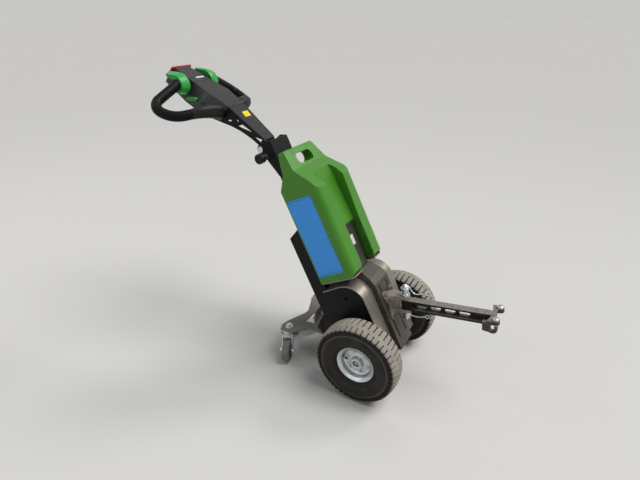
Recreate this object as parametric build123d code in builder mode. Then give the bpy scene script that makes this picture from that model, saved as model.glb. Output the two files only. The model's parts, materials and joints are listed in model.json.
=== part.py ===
from build123d import *
from math import cos, sin, radians
import os

os.makedirs("parts", exist_ok=True)

# Stance. The body and its mast lean back; all sizes are millimetres.
LEAN = 27.0
TYRE_RADIUS = 134.0
WHEEL_Y = 170.0
GROUND_CLEARANCE = 108.0

# Running and seating clearances
RUNNING = 0.05
SEAT = 0.3

# Sheet thicknesses
HOUSING_SHEET = 3.0
COVER_SHEET = 2.5
PLATE_SHEET = 3.0
CASTOR_PLATE_SHEET = 6.0

# Half-widths of the body, from inside to outside
MAST_HALF = 47.0
HOUSING_HALF = 88.0
PANEL_HALF = 103.0
PACK_HALF = 108.0
COVER_HALF = 109.0

# Distances ahead of the mast line and up along it, in the leaning side view
MAST_WEB_AHEAD = -10.0
MAST_DEPTH = 20.0
HOUSING_REAR = -64.0
HOUSING_FRONT = -12.0
COVER_FRONT = 124.0
PLATE_FRONT = 141.0
BODY_BOTTOM = 72.0
PACK_BOTTOM = 364.0
PACK_SHOULDER = 727.0
PACK_TOP = 791.0
PACK_FRONT = 126.0
PACK_REAR = MAST_WEB_AHEAD + SEAT

# Tiller pivot, in the leaning side view, and the slope of its arm
PIVOT_AHEAD = -56.0
PIVOT_UP = 825.0
ARM_SLOPE = 35.8
ARM_TOP = 22.6
ARM_ROOT_HALF = 26.0
ARM_HEAD_HALF = 38.0
ARM_LENGTH = 170.0
PIVOT_BOLT_RADIUS = 6.0
HEAD_START = ARM_LENGTH + 2.0
HEAD_LENGTH = 240.0
HEAD_END = HEAD_START + HEAD_LENGTH
BELLY_END = HEAD_END + 22.0
BELLY_CORNER = -50.7

# Drawbar: its pin stands square to the bar, which rises a little to the front
BAR_PITCH = 7.8
PIN_X = 78.0
PIN_Z = 270.6
PIN_RADIUS = 8.0
BAR_WIDTH = 28.0
BAR_HEIGHT = 34.3
JAW_REACH = 290.0
JAW_BOTTOM = 5.0

# Castors: wheel, trail and place of the swivel pins
CASTOR_WHEEL_RADIUS = 40.0
CASTOR_WHEEL_WIDTH = 25.0
CASTOR_TRAIL = 37.0
CASTOR_X = -296.0
CASTOR_Y = 109.0
CASTOR_TOP = 107.0

COS = cos(radians(LEAN))
SIN = sin(radians(LEAN))
ARM_COS = cos(radians(ARM_SLOPE))
ARM_SIN = sin(radians(ARM_SLOPE))
BAR_COS = cos(radians(BAR_PITCH))
BAR_SIN = sin(radians(BAR_PITCH))

# The origin is on the floor below the middle of the part's length
PIVOT_X = PIVOT_AHEAD * COS - PIVOT_UP * SIN
PIVOT_Z = PIVOT_AHEAD * SIN + PIVOT_UP * COS
REAR_REACH = -(PIVOT_X - BELLY_END * ARM_COS + BELLY_CORNER * ARM_SIN)
FRONT_REACH = PIN_X + JAW_REACH * BAR_COS - JAW_BOTTOM * BAR_SIN
AXLE_X = (REAR_REACH - FRONT_REACH) / 2

# Side view planes: x ahead and y up; the leaning one has x ahead of the mast and y up along it
side = Plane(origin=(AXLE_X, 0, 0), x_dir=(1, 0, 0), z_dir=(0, -1, 0))
lean = Plane(origin=(AXLE_X, 0, 0), x_dir=(COS, 0, SIN), z_dir=(0, -1, 0))
# The arm's side view: x along the arm from its pivot, y square to it
arm = Plane(origin=(AXLE_X + PIVOT_X, 0, PIVOT_Z), x_dir=(-ARM_COS, 0, ARM_SIN), z_dir=(0, 1, 0))
# The drawbar's planes: from its pin, seen from above and from the side
tow = Plane(origin=(AXLE_X + PIN_X, 0, PIN_Z), x_dir=(BAR_COS, 0, BAR_SIN), z_dir=(-BAR_SIN, 0, BAR_COS))
tow_side = Plane(origin=tow.origin, x_dir=tow.x_dir, z_dir=(0, -1, 0))


def across(up):
    """Plane square to the mast: x ahead, y to the left."""
    return Plane(origin=lean.from_local_coords(Vector(0, up, 0)), x_dir=(COS, 0, SIN), z_dir=(-SIN, 0, COS))


def facing(ahead):
    """Plane parallel to the front plate: x to the left, y up along the mast."""
    return Plane(origin=lean.from_local_coords(Vector(ahead, 0, 0)), x_dir=(0, 1, 0), z_dir=(COS, 0, SIN))


def up_mast(ahead, height):
    """Distance up the mast at which a point this far ahead stands at a height over the floor."""
    return (height - ahead * SIN) / COS


def keep(piece, name):
    piece.label = name
    export_step(piece, f"parts/{name}.step")


def keep_pair(piece, name):
    """The given piece is the right one; the left one is its mirror image."""
    keep(piece, name + "_right")
    keep(mirror(piece, about=Plane.XZ), name + "_left")


# Drive wheels: pneumatic tyre on a four-inch disc wheel, each on its own stub shaft
RIM_RADIUS = 62.0
RIM_HALF = 30.0
RIM_SHEET = 3.0
BEAD_SEAT = 50.5
TYRE_BULGE = 43.0
TREAD_HALF = 39.4
SHOULDER_RADIUS = 118.0
CROWN_HALF = 34.5
CROWN_DROP = 6.0
HUB_RADIUS = 19.0
SHAFT_RADIUS = 10.0
SHAFT_END = 33.0
AXLE_TUBE_END = 125.0
SHAFT_ROOT = 62.0
DISC_DEPTH = 12.0

wheel = Plane(origin=(AXLE_X, -WHEEL_Y, TYRE_RADIUS), x_dir=(0, -1, 0), z_dir=(-1, 0, 0))
wheel_axis = Axis(wheel.origin, (0, -1, 0))

with BuildPart() as tyre:
    with BuildSketch(wheel):
        with BuildLine():
            bead = RIM_HALF - RIM_SHEET - SEAT
            crown = (CROWN_HALF, TYRE_RADIUS - CROWN_DROP)
            foot = (RIM_HALF + 7.5, RIM_RADIUS + 9.5)
            Polyline((0, BEAD_SEAT + SEAT), (bead, BEAD_SEAT + SEAT), (bead, RIM_RADIUS + SEAT),
                     (RIM_HALF + 1, RIM_RADIUS + 2), foot)
            ThreePointArc(foot, (TYRE_BULGE, 91), (TREAD_HALF + 1, SHOULDER_RADIUS - 6))
            Line((TREAD_HALF + 1, SHOULDER_RADIUS - 6), (TREAD_HALF, SHOULDER_RADIUS))
            ThreePointArc((TREAD_HALF, SHOULDER_RADIUS), (TREAD_HALF - 1.6, SHOULDER_RADIUS + 5.9), crown)
            ThreePointArc(crown, (CROWN_HALF / 2, TYRE_RADIUS - CROWN_DROP / 5), (0, TYRE_RADIUS))
            mirror(about=Plane.YZ)
        make_face()
    revolve(axis=wheel_axis)
keep_pair(tyre.part, "drive_tyre")

with BuildPart() as rim:
    with BuildSketch(wheel):
        with BuildLine():
            Polyline(
                (-RIM_HALF, BEAD_SEAT - RIM_SHEET), (RIM_HALF, BEAD_SEAT - RIM_SHEET), (RIM_HALF, RIM_RADIUS),
                (RIM_HALF - RIM_SHEET, RIM_RADIUS), (RIM_HALF - RIM_SHEET, BEAD_SEAT),
                (RIM_SHEET - RIM_HALF, BEAD_SEAT),
                (RIM_SHEET - RIM_HALF, RIM_RADIUS), (-RIM_HALF, RIM_RADIUS), close=True,
            )
        make_face()
        with BuildLine():
            Polyline(
                (0, BEAD_SEAT - 1), (0, 44), (DISC_DEPTH - RIM_SHEET, 34),
                (DISC_DEPTH - RIM_SHEET, HUB_RADIUS),
                (-28, HUB_RADIUS), (-28, SHAFT_RADIUS + RUNNING), (22, SHAFT_RADIUS + RUNNING),
                (22, HUB_RADIUS),
                (DISC_DEPTH, HUB_RADIUS), (DISC_DEPTH, 35.5), (RIM_SHEET, 45.5),
                (RIM_SHEET, BEAD_SEAT - 1), close=True,
            )
        make_face()
    revolve(axis=wheel_axis)
    with BuildSketch(Plane(origin=wheel.origin, x_dir=(1, 0, 0), z_dir=(0, -1, 0))):
        with Locations((-27, 27)):
            Circle(5.5)
    extrude(amount=RIM_HALF, mode=Mode.SUBTRACT)
keep_pair(rim.part, "drive_rim")

with BuildPart() as stub_shaft:
    with BuildSketch(Plane(origin=(AXLE_X, -SHAFT_ROOT, TYRE_RADIUS), x_dir=(1, 0, 0), z_dir=(0, -1, 0))):
        Circle(SHAFT_RADIUS)
    extrude(amount=WHEEL_Y + SHAFT_END - SHAFT_ROOT)
    chamfer(stub_shaft.faces().sort_by(Axis.Y)[0].edges(), 2)
keep_pair(stub_shaft.part, "stub_shaft")

# Drive unit: gear case with the axle tubes, and the motor standing on it along the mast
GEAR_CASE_RADIUS = 45.0
GEAR_CASE_HALF = 52.0
AXLE_TUBE_RADIUS = 22.0
MOTOR_RADIUS = 42.0
MOTOR_TOP = 305.0
axle_ahead = TYRE_RADIUS * SIN
axle_up = TYRE_RADIUS * COS
MOTOR_SEAT = axle_up + 52.0

with BuildPart() as gear_case:
    with BuildSketch(lean):
        with Locations((axle_ahead, axle_up)):
            Circle(GEAR_CASE_RADIUS)
    extrude(amount=GEAR_CASE_HALF, both=True)
    with BuildSketch(lean):
        with Locations((axle_ahead, axle_up)):
            Circle(AXLE_TUBE_RADIUS)
    extrude(amount=AXLE_TUBE_END, both=True)
    with BuildSketch(across(axle_up)):
        with Locations((axle_ahead, 0)):
            Rectangle(70, 70)
    extrude(amount=MOTOR_SEAT - axle_up)
    for way in (-1, 1):
        with BuildSketch(Plane(origin=(AXLE_X, way * (SHAFT_ROOT - 1), TYRE_RADIUS), x_dir=(1, 0, 0),
                               z_dir=(0, way, 0))):
            Circle(SHAFT_RADIUS + RUNNING)
        extrude(amount=AXLE_TUBE_END, mode=Mode.SUBTRACT)
keep(gear_case.part, "gear_case")

with BuildPart() as drive_motor:
    with BuildSketch(across(MOTOR_SEAT)):
        with Locations((axle_ahead, 0)):
            Circle(MOTOR_RADIUS)
    extrude(amount=MOTOR_TOP - MOTOR_SEAT)
keep(drive_motor.part, "drive_motor")


# Body cover: one bent sheet band over the top and down the front
COVER_REAR = HOUSING_FRONT + SEAT
COVER_BACK_UP = 337.0
COVER_BEND = 52.0
COVER_UP = 343.0
COVER_SHOULDER = 290.0


def cover_line(inset):
    """Side view of the cover's outer face, moved inward by the inset."""
    front = COVER_FRONT - inset
    Line((COVER_REAR, COVER_BACK_UP - inset), (COVER_BEND, COVER_UP - inset))
    ThreePointArc((COVER_BEND, COVER_UP - inset), (103 - 0.7 * inset, 326 - 0.7 * inset),
                  (front, COVER_SHOULDER))
    Polyline((front, COVER_SHOULDER), (front, BODY_BOTTOM), (COVER_REAR, BODY_BOTTOM),
             (COVER_REAR, COVER_BACK_UP - inset))


with BuildPart() as body_cover:
    with BuildSketch(lean):
        with BuildLine():
            cover_line(0)
        make_face()
        with BuildLine():
            cover_line(COVER_SHEET)
        make_face(mode=Mode.SUBTRACT)
    extrude(amount=COVER_HALF, both=True)
keep(body_cover.part, "body_cover")

# The room under the cover, kept free of the pieces that are seated on it
with BuildPart() as cover_room:
    with BuildSketch(lean):
        with BuildLine():
            cover_line(-SEAT)
        make_face()
    extrude(amount=COVER_HALF, both=True)

with BuildPart() as side_panel:
    with BuildSketch(lean.offset(PANEL_HALF - HOUSING_SHEET)):
        with BuildLine():
            cover_line(COVER_SHEET + SEAT)
        make_face()
        with BuildLine():
            low_rear = (HOUSING_FRONT - 1, up_mast(HOUSING_FRONT - 1, GROUND_CLEARANCE))
            low_front = (COVER_FRONT + 1, up_mast(COVER_FRONT + 1, GROUND_CLEARANCE))
            Polyline(low_rear, low_front, (COVER_FRONT + 1, 0), (HOUSING_FRONT - 1, 0), close=True)
        make_face(mode=Mode.SUBTRACT)
        with Locations((axle_ahead, axle_up)):
            Circle(AXLE_TUBE_RADIUS + SEAT, mode=Mode.SUBTRACT)
        with Locations((58, 298)):
            Circle(5, mode=Mode.SUBTRACT)
    extrude(amount=HOUSING_SHEET)
keep_pair(side_panel.part, "side_panel")

# Rear housing: a folded box behind the pack, with side plates that reach down round the castor plate
HOUSING_TOP_REAR = 530.0
HOUSING_TOP_FRONT = 556.0
FOOT_NOSE = (-194.0, 134.0)
FOOT_LOW = (-166.0, GROUND_CLEARANCE)


def leaning(point):
    """A point of the upright side view, in the leaning one."""
    return (point[0] * COS + point[1] * SIN, point[1] * COS - point[0] * SIN)


FOOT_TOP = 253.6
with BuildPart() as housing:
    with BuildSketch(lean):
        with BuildLine():
            Polyline(
                (HOUSING_REAR, HOUSING_TOP_REAR), (HOUSING_FRONT, HOUSING_TOP_FRONT),
                (HOUSING_FRONT, up_mast(HOUSING_FRONT, GROUND_CLEARANCE)), leaning(FOOT_LOW),
                leaning(FOOT_NOSE),
                (HOUSING_REAR, FOOT_TOP), close=True,
            )
        make_face()
    extrude(amount=HOUSING_HALF, both=True)
    with BuildSketch(lean):
        with BuildLine():
            Polyline(
                (HOUSING_REAR + HOUSING_SHEET, HOUSING_TOP_REAR - 2), (0, HOUSING_TOP_FRONT + 2.5), (0, 40),
                (-160, 40), leaning(FOOT_NOSE), (HOUSING_REAR + HOUSING_SHEET, FOOT_TOP), close=True,
            )
        make_face()
    extrude(amount=HOUSING_HALF - HOUSING_SHEET, both=True, mode=Mode.SUBTRACT)
    with BuildSketch(across(HOUSING_TOP_REAR)):
        with Locations((MAST_WEB_AHEAD - MAST_DEPTH / 2, 0)):
            Rectangle(MAST_DEPTH + 2 * SEAT, 2 * (MAST_HALF + SEAT))
    extrude(amount=60, both=True, mode=Mode.SUBTRACT)
    with BuildSketch(lean):
        with BuildLine():
            low = up_mast(HOUSING_FRONT, GROUND_CLEARANCE)
            Polyline(
                (HOUSING_FRONT - HOUSING_SHEET, COVER_BACK_UP), (HOUSING_FRONT, COVER_BACK_UP),
                (HOUSING_FRONT, low),
                (HOUSING_FRONT - HOUSING_SHEET, low + HOUSING_SHEET * SIN / COS), close=True,
            )
        make_face()
    extrude(amount=PANEL_HALF, both=True)
keep(housing.part, "rear_housing")

# Mast: a folded channel whose side plates carry the tiller's pivot
CLAMP_AHEAD = -47.0
CLAMP_UP = 799.0
CLAMP_BOLT_RADIUS = 5.0
PIVOT_BOSS = 15.0
MAST_ROOT = 400.0
with BuildPart() as mast:
    with BuildSketch(lean):
        with BuildLine():
            Polyline(
                (MAST_WEB_AHEAD, MAST_ROOT), (MAST_WEB_AHEAD - MAST_DEPTH, MAST_ROOT),
                (MAST_WEB_AHEAD - MAST_DEPTH, 722),
                (-50, 785), (PIVOT_AHEAD - 14, PIVOT_UP - 5), (PIVOT_AHEAD - 4, PIVOT_UP + 14.5), (-33, 846),
                (MAST_WEB_AHEAD, 838), close=True,
            )
        make_face()
        with Locations((PIVOT_AHEAD, PIVOT_UP)):
            Circle(PIVOT_BOSS)
    extrude(amount=MAST_HALF, both=True)
    with BuildSketch(across(MAST_ROOT)):
        with Locations((MAST_WEB_AHEAD - HOUSING_SHEET - 40, 0)):
            Rectangle(80, 2 * (MAST_HALF - HOUSING_SHEET))
    extrude(amount=500, mode=Mode.SUBTRACT)
    with BuildSketch(lean):
        with Locations((PIVOT_AHEAD, PIVOT_UP)):
            Circle(PIVOT_BOLT_RADIUS)
        with Locations((CLAMP_AHEAD, CLAMP_UP)):
            Circle(CLAMP_BOLT_RADIUS)
    extrude(amount=MAST_HALF + 1, both=True, mode=Mode.SUBTRACT)
keep(mast.part, "mast")

with BuildPart() as pivot_bolt:
    with BuildSketch(lean):
        with Locations((PIVOT_AHEAD, PIVOT_UP)):
            Circle(PIVOT_BOLT_RADIUS)
    extrude(amount=MAST_HALF + 1, both=True)
    for way in (-1, 1):
        with BuildSketch(lean.offset(way * MAST_HALF)):
            with Locations((PIVOT_AHEAD, PIVOT_UP)):
                Circle(10)
        extrude(amount=way * 6)
keep(pivot_bolt.part, "pivot_bolt")

with BuildPart() as clamp_bolt:
    with BuildSketch(lean):
        with Locations((CLAMP_AHEAD, CLAMP_UP)):
            Circle(CLAMP_BOLT_RADIUS)
    extrude(amount=MAST_HALF + 1, both=True)
    with BuildSketch(lean.offset(-MAST_HALF)):
        with Locations((CLAMP_AHEAD, CLAMP_UP)):
            RegularPolygon(9, 6)
    extrude(amount=-6)
    with BuildSketch(lean.offset(MAST_HALF)):
        with Locations((CLAMP_AHEAD, CLAMP_UP)):
            Circle(8)
    extrude(amount=20)
keep(clamp_bolt.part, "clamp_bolt")

with BuildPart() as clamp_knob:
    with BuildSketch(lean.offset(MAST_HALF + 20)):
        with Locations((CLAMP_AHEAD, CLAMP_UP)):
            Circle(16)
    extrude(amount=25)
    chamfer(clamp_knob.edges().filter_by(GeomType.CIRCLE), 3)
keep(clamp_knob.part, "clamp_knob")

# Front plate: raised over the cover, folded back along both edges, with two long slots
PLATE_HALF = 47.5
PLATE_TOP_HALF = 35.0
PLATE_BOTTOM = 69.0
SLOT_Y = 25.0
SLOT_WIDTH = 6.0
SLOT_LOW = 100.0
SLOT_HIGH = 295.0
with BuildPart() as front_plate:
    with BuildSketch(lean):
        with BuildLine():
            Polyline(
                (92, 310), (92, 352), (102, 358), (131, 324), (PLATE_FRONT, 302), (PLATE_FRONT, PLATE_BOTTOM),
                (100, PLATE_BOTTOM), (92, 310),
            )
        make_face()
    extrude(amount=PLATE_HALF, both=True)
    with BuildSketch(facing(0)):
        with BuildLine():
            Polyline(
                (-PLATE_HALF, 0), (-PLATE_HALF, 302), (-46, 324), (-PLATE_TOP_HALF, 360),
                (PLATE_TOP_HALF, 360), (46, 324), (PLATE_HALF, 302), (PLATE_HALF, 0), close=True,
            )
        make_face()
    extrude(amount=2 * PLATE_FRONT, mode=Mode.INTERSECT)
with BuildPart() as plate_hollow:
    with BuildSketch(lean):
        with BuildLine():
            Polyline(
                (70, 300), (70, 371), (86.7, 371.2), (128.4, 322.3), (PLATE_FRONT - PLATE_SHEET, 301.5),
                (PLATE_FRONT - PLATE_SHEET, 60), (70, 60), close=True,
            )
        make_face()
    extrude(amount=PLATE_HALF, both=True)
    with BuildSketch(facing(0)):
        with BuildLine():
            inner = PLATE_HALF - PLATE_SHEET
            Polyline(
                (-inner, 0), (-inner, 302), (-43, 324), (3 - PLATE_TOP_HALF, 372),
                (PLATE_TOP_HALF - 3, 372), (43, 324), (inner, 302), (inner, 0), close=True,
            )
        make_face()
    extrude(amount=2 * PLATE_FRONT, mode=Mode.INTERSECT)
with BuildPart() as front_plate_cut:
    add(front_plate.part)
    add(plate_hollow.part, mode=Mode.SUBTRACT)
    add(cover_room.part, mode=Mode.SUBTRACT)
    with BuildSketch(facing(PLATE_FRONT + 1)):
        with Locations(*[(way * SLOT_Y, (SLOT_LOW + SLOT_HIGH) / 2) for way in (-1, 1)]):
            SlotOverall(SLOT_HIGH - SLOT_LOW, SLOT_WIDTH, rotation=90)
    extrude(amount=-PLATE_SHEET - 2, mode=Mode.SUBTRACT)
keep(front_plate_cut.part, "front_plate")

# Column cover in the pack's groove, and the dock that the pack stands on
COLUMN_FRONT = 97.0
COLUMN_REAR = 80.0
COLUMN_HALF = 40.0
COLUMN_TOP = 500.0
COLUMN_ROOT = 325.0
with BuildPart() as column_cover:
    with BuildSketch(across(COLUMN_ROOT)):
        with Locations(((COLUMN_FRONT + COLUMN_REAR) / 2, 0)):
            Rectangle(COLUMN_FRONT - COLUMN_REAR, 2 * 31)
    with BuildSketch(across(COLUMN_TOP)):
        with Locations(((COLUMN_FRONT + COLUMN_REAR) / 2, 0)):
            Rectangle(COLUMN_FRONT - COLUMN_REAR, 2 * COLUMN_HALF)
    loft()
    add(cover_room.part, mode=Mode.SUBTRACT)
keep(column_cover.part, "column_cover")

CAP_SHEET = 4.0
CAP_RIM = 4.0
with BuildPart() as column_cap:
    with BuildSketch(across(COLUMN_TOP + SEAT)):
        with Locations(((COLUMN_FRONT + CAP_RIM + COLUMN_REAR) / 2, 0)):
            Rectangle(COLUMN_FRONT + CAP_RIM - COLUMN_REAR, 2 * (COLUMN_HALF + CAP_RIM))
    extrude(amount=CAP_SHEET)
keep(column_cap.part, "column_cap")

# Groove down the front of the pack
GROOVE_TOP_HALF = 58.0
GROOVE_LOW_HALF = 46.0
GROOVE_LEDGE = 508.0
with BuildPart() as groove:
    with BuildSketch(lean):
        with BuildLine():
            Polyline(
                (88, 702), (104, GROOVE_LEDGE), (COLUMN_REAR - 2, GROOVE_LEDGE), (COLUMN_REAR - 2, 340),
                (160, 340),
                (160, 760), (88, 760), close=True,
            )
        make_face()
    extrude(amount=GROOVE_TOP_HALF + 5, both=True)
    with BuildSketch(facing(0)):
        with BuildLine():
            Polyline(
                (-GROOVE_LOW_HALF, 330), (-GROOVE_LOW_HALF, GROOVE_LEDGE), (-GROOVE_TOP_HALF, 690),
                (-50, 702),
                (50, 702), (GROOVE_TOP_HALF, 690), (GROOVE_LOW_HALF, GROOVE_LEDGE), (GROOVE_LOW_HALF, 330),
                close=True,
            )
        make_face()
    extrude(amount=200, mode=Mode.INTERSECT)

# Dock that the pack stands on, with a thin tray that follows the pack's outline
LEG_ROUND = 20.0
BACK_ROUND = 10.0
DOCK_MIDDLE = 33.0
TRAY_SHEET = 4.0
TRAY_INSET = 4.0
PACK_MIDDLE = (PACK_FRONT + PACK_REAR) / 2
with BuildPart() as dock_tray:
    with BuildSketch(across(PACK_BOTTOM - SEAT - TRAY_SHEET)) as tray_plan:
        with Locations((PACK_MIDDLE, 0)):
            Rectangle(PACK_FRONT - PACK_REAR - 2 * TRAY_INSET, 2 * (PACK_HALF - TRAY_INSET))
        fillet(tray_plan.vertices().group_by(Axis.X)[-1], LEG_ROUND - TRAY_INSET)
    extrude(amount=TRAY_SHEET)
    add(groove.part, mode=Mode.SUBTRACT)
keep(dock_tray.part, "dock_tray")

with BuildPart() as battery_dock:
    with BuildSketch(across(COLUMN_ROOT)):
        with Locations((DOCK_MIDDLE, 0)):
            RectangleRounded(84, 150, 8)
    extrude(amount=PACK_BOTTOM - TRAY_SHEET - 2 * SEAT - COLUMN_ROOT)
    add(cover_room.part, mode=Mode.SUBTRACT)
keep(battery_dock.part, "battery_dock")

# Battery pack: a moulded case with rounded legs either side of its groove, sloped shoulders and a hand hole
# through the handle on top
HAND_HOLE_LOW = 736.0
HAND_HOLE_HIGH = 770.0
HAND_HOLE_HALF = 43.0
PACK_FOOT = 19.0
CREASE = 9.0
with BuildPart() as battery_pack:
    with BuildSketch(across(PACK_BOTTOM)) as pack_plan:
        with Locations((PACK_MIDDLE, 0)):
            Rectangle(PACK_FRONT - PACK_REAR, 2 * PACK_HALF)
        fillet(pack_plan.vertices().group_by(Axis.X)[-1], LEG_ROUND)
        fillet(pack_plan.vertices().group_by(Axis.X)[0], BACK_ROUND)
    extrude(amount=PACK_TOP - PACK_BOTTOM)
    with BuildSketch(lean):
        with BuildLine():
            Polyline(
                (PACK_REAR, PACK_BOTTOM), (PACK_FRONT - PACK_FOOT, PACK_BOTTOM),
            )
            RadiusArc((PACK_FRONT - PACK_FOOT, PACK_BOTTOM), (PACK_FRONT, PACK_BOTTOM + PACK_FOOT),
                      -PACK_FOOT)
            FilletPolyline(
                (PACK_FRONT, PACK_BOTTOM + PACK_FOOT), (PACK_FRONT, 656), (110, 679), (64, PACK_SHOULDER),
                (44, PACK_TOP), (22, PACK_TOP), (20, 724), radius=(CREASE, CREASE, CREASE, 6, 6),
            )
            Polyline((20, 724), (PACK_REAR, 678), (PACK_REAR, PACK_BOTTOM))
        make_face()
    extrude(amount=PACK_HALF, both=True, mode=Mode.INTERSECT)
    with BuildSketch(facing(-20)):
        with BuildLine():
            FilletPolyline(
                (-PACK_HALF, PACK_BOTTOM), (-PACK_HALF, 655), (-97, PACK_SHOULDER), (-80, PACK_TOP),
                (80, PACK_TOP), (97, PACK_SHOULDER), (PACK_HALF, 655), (PACK_HALF, PACK_BOTTOM),
                radius=(CREASE, CREASE, CREASE, CREASE, CREASE, CREASE),
            )
            Line((PACK_HALF, PACK_BOTTOM), (-PACK_HALF, PACK_BOTTOM))
        make_face()
    extrude(amount=200, mode=Mode.INTERSECT)
    add(groove.part, mode=Mode.SUBTRACT)
    with BuildSketch(facing(0)):
        with Locations((0, (HAND_HOLE_LOW + HAND_HOLE_HIGH) / 2)):
            RectangleRounded(2 * HAND_HOLE_HALF, HAND_HOLE_HIGH - HAND_HOLE_LOW, 14)
    extrude(amount=200, mode=Mode.SUBTRACT)
keep(battery_pack.part, "battery_pack")

# Castor plate: a bolted steel plate with a window, carrying both swivel pins
CASTOR_BOSS = 28.0
CASTOR_PIN_RADIUS = 5.0
with BuildPart() as castor_plate:
    with BuildSketch(Plane.XY.offset(CASTOR_TOP)):
        with BuildLine():
            Polyline(
                (AXLE_X - 110, HOUSING_HALF - HOUSING_SHEET - SEAT),
                (AXLE_X - 232, HOUSING_HALF - HOUSING_SHEET - SEAT),
                (AXLE_X + CASTOR_X + 18, CASTOR_Y + 27.5), (AXLE_X + CASTOR_X - 20, CASTOR_Y + 26),
                (AXLE_X + CASTOR_X - 24, CASTOR_Y - 22),
                (AXLE_X - 289, 9), (AXLE_X - 289, -9), (AXLE_X + CASTOR_X - 24, 22 - CASTOR_Y),
                (AXLE_X + CASTOR_X - 20, -26 - CASTOR_Y), (AXLE_X + CASTOR_X + 18, -27.5 - CASTOR_Y),
                (AXLE_X - 232, HOUSING_SHEET + SEAT - HOUSING_HALF),
                (AXLE_X - 110, HOUSING_SHEET + SEAT - HOUSING_HALF), close=True,
            )
        make_face()
        with Locations(*[(AXLE_X + CASTOR_X, way * CASTOR_Y) for way in (-1, 1)]):
            Circle(CASTOR_BOSS)
        with Locations((AXLE_X - 246, 0)):
            RectangleRounded(36, 108, 5, mode=Mode.SUBTRACT)
        with Locations(*[(AXLE_X + CASTOR_X, way * CASTOR_Y) for way in (-1, 1)]):
            Circle(CASTOR_PIN_RADIUS, mode=Mode.SUBTRACT)
    extrude(amount=CASTOR_PLATE_SHEET)
keep(castor_plate.part, "castor_plate")

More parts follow.
